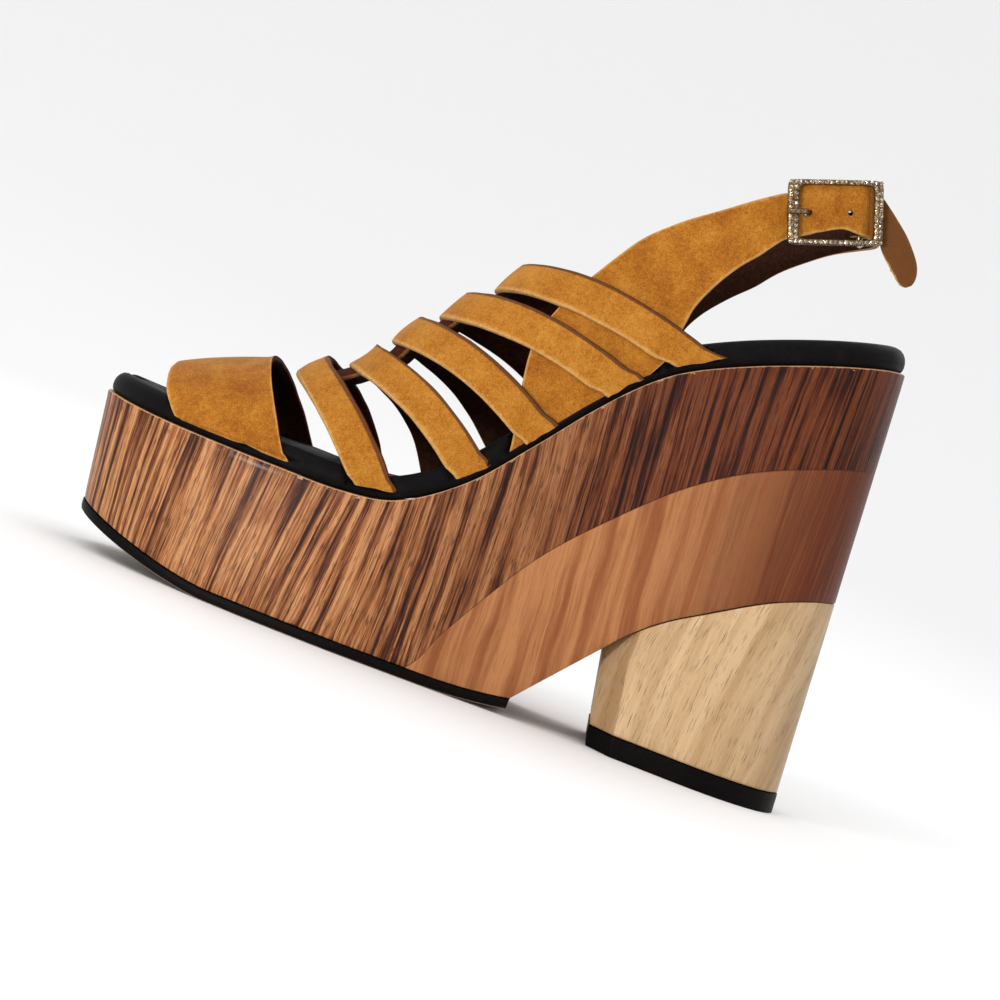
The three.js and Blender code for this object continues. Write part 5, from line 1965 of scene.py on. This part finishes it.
# ------------------------------------------------------------------------------- the studio
@dataclass
class Studio:
    """Pale floor that sweeps up all round, soft lights and the camera."""

    floor_radius: float = 1.15
    rim_steps: int = 14
    rim_angle: float = 4.5
    rim_rise: float = 0.16
    rim_spread: float = 0.09
    camera_place: tuple[float, float, float] = (0.03365, -0.79553, 0.07314)
    camera_aim: tuple[float, float, float] = (0.00695, -0.03, 0.0583)
    camera_roll: float = 21.23
    lens: float = 95.04
    floor_colour: Colour = (0.90, 0.90, 0.90)

    def build(self) -> None:
        """Builds the floor, the lights and the camera."""
        self.floor()
        self.lights()
        self.camera()
        self.world()

    def floor(self) -> None:
        """Floor disc whose rim is drawn up in steps."""
        deselect()
        bpy.ops.mesh.primitive_circle_add(vertices=96, radius=self.floor_radius, fill_type="NGON")
        floor = bpy.context.object
        floor.name = "studio_floor"
        enter_edit("VERT")
        bpy.ops.mesh.select_all(action="SELECT")
        bpy.ops.mesh.select_mode(type="EDGE")
        bpy.ops.mesh.region_to_loop()
        for step in range(1, self.rim_steps + 1):
            angle = math.radians(self.rim_angle * step)
            up = (0, 0, self.rim_rise * math.sin(angle))
            bpy.ops.mesh.extrude_edges_move(TRANSFORM_OT_translate={"value": up})
            size = 1 + self.rim_spread * math.cos(angle)
            bpy.ops.transform.resize(value=(size, size, 1), center_override=(0, 0, 0))
        leave_edit()
        bpy.ops.object.shade_smooth_by_angle(angle=math.radians(60))
        material, nodes, shader = new_material("studio_paper", self.floor_colour)
        nodes.feed(shader.inputs["Base Color"], self.floor_colour)
        grain = nodes.noise(nodes.place(), 0.02, 2.0)
        nodes.feed(shader.inputs["Roughness"], nodes.scaled(grain, 0.1, 0.85))
        floor.data.materials.append(material)

    def area(
        self, name: str, place: tuple[float, float, float], size: float, power: float, tall: float = 1.0
    ) -> None:
        """Soft rectangular light aimed at the shoe.

        Args:
            name: The light's name.
            place: Where it stands, in metres.
            size: Its width.
            power: Its power in watts.
            tall: Its height over its width.
        """
        data = bpy.data.lights.new(name, "AREA")
        data.shape = "RECTANGLE"
        data.size = size
        data.size_y = size * tall
        data.energy = power
        light = bpy.data.objects.new(name, data)
        bpy.context.scene.collection.objects.link(light)
        light.location = place
        aim = Vector((0, 0, 0.07)) - Vector(place)
        light.rotation_euler = aim.to_track_quat("-Z", "Y").to_euler()

    def lights(self) -> None:
        """Key, fill, top and back lights."""
        self.area("key", (-0.55, -0.95, 0.95), 0.5, 4.0)
        self.area("fill", (0.8, -0.9, 0.45), 0.9, 0.8)
        self.area("front_strip", (-0.485, -0.94, 0.075), 0.11, 6.5, 1.15)
        self.area("top", (0.0, 0.1, 1.2), 0.9, 1.6)
        self.area("back", (0.4, 1.0, 0.7), 0.8, 1.6)

    def world(self) -> None:
        """Even pale surroundings."""
        world = bpy.data.worlds.new("studio")
        world.use_nodes = True
        background = world.node_tree.nodes["Background"]
        background.inputs["Color"].default_value = (1.0, 1.0, 1.0, 1.0)
        background.inputs["Strength"].default_value = 0.92
        bpy.context.scene.world = world
        bpy.context.scene.view_settings.view_transform = "Standard"

    def camera(self) -> None:
        """Camera low on the outer side, rolled so that the ground runs down to the right."""
        data = bpy.data.cameras.new("camera")
        data.lens = self.lens
        data.sensor_width = 36.0
        data.clip_start = 0.01
        camera = bpy.data.objects.new("camera", data)
        bpy.context.scene.collection.objects.link(camera)
        place, aim = Vector(self.camera_place), Vector(self.camera_aim)
        forward = (aim - place).normalized()
        level = forward.cross(Vector((0, 0, 1))).normalized()
        upright = level.cross(forward)
        roll = math.radians(self.camera_roll)
        right = level * math.cos(roll) + upright * math.sin(roll)
        up = right.cross(forward)
        camera.matrix_world = Matrix.Translation(place) @ Matrix((right, up, -forward)).transposed().to_4x4()
        bpy.context.scene.camera = camera


def main() -> None:
    """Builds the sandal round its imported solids."""
    logging.basicConfig(level=logging.INFO, format="%(name)s: %(message)s")
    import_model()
    Studio().build()
    finishes = Finishes.make()
    Body().build(finishes)
    Outsole().build(finishes)
    HeelPiece("oak_heel", "heel_block", "oak_veneer", FORM.gap + 6.0, None, 0.0).build(finishes)
    HeelPiece("heel_top_piece", "heel_top_lift", "sole_rubber", 0.0, 6.0, 0.25).build(finishes)
    Insole().build(finishes)
    ToeStrap().build(finishes)
    for number, cut in enumerate(STRAPS):
        InstepStrap(cut, seed=number * 3.7).build(finishes)
    InstepStrip().build(finishes)
    outer_tail = [(SEAT.point(fu, fv, w), SEAT.point(ru, rv, w)) for fu, fv, ru, rv, w in STRAP_END]
    holes = ((-7.8, 1.15, 0.95), (4.6, 0.75, 0.75))
    Quarter("outer_quarter", Side.LATERAL, QUARTER_OUTER, outer_tail, holes).build(finishes)
    Quarter("inner_quarter", Side.MEDIAL, QUARTER_INNER, pin_loop()).build(finishes)
    Buckle().build(finishes)


def pin_loop() -> list[tuple[Vector, Vector]]:
    """Rows of the heel strap's loop round the buckle's pin."""
    wall, gap, half = 1.5, 0.3, 6.2
    radius = SEAT.pin_radius + gap + wall
    rows = []
    for degrees in (-90, -45, 0, 45, 90, 110):
        angle = math.radians(degrees)
        u, w = SEAT.pin_u - math.cos(angle) * radius, SEAT.pin_w + math.sin(angle) * radius
        rows.append((SEAT.point(u, half, w), SEAT.point(u, -half, w)))
    return rows


if __name__ == "__main__":
    main()
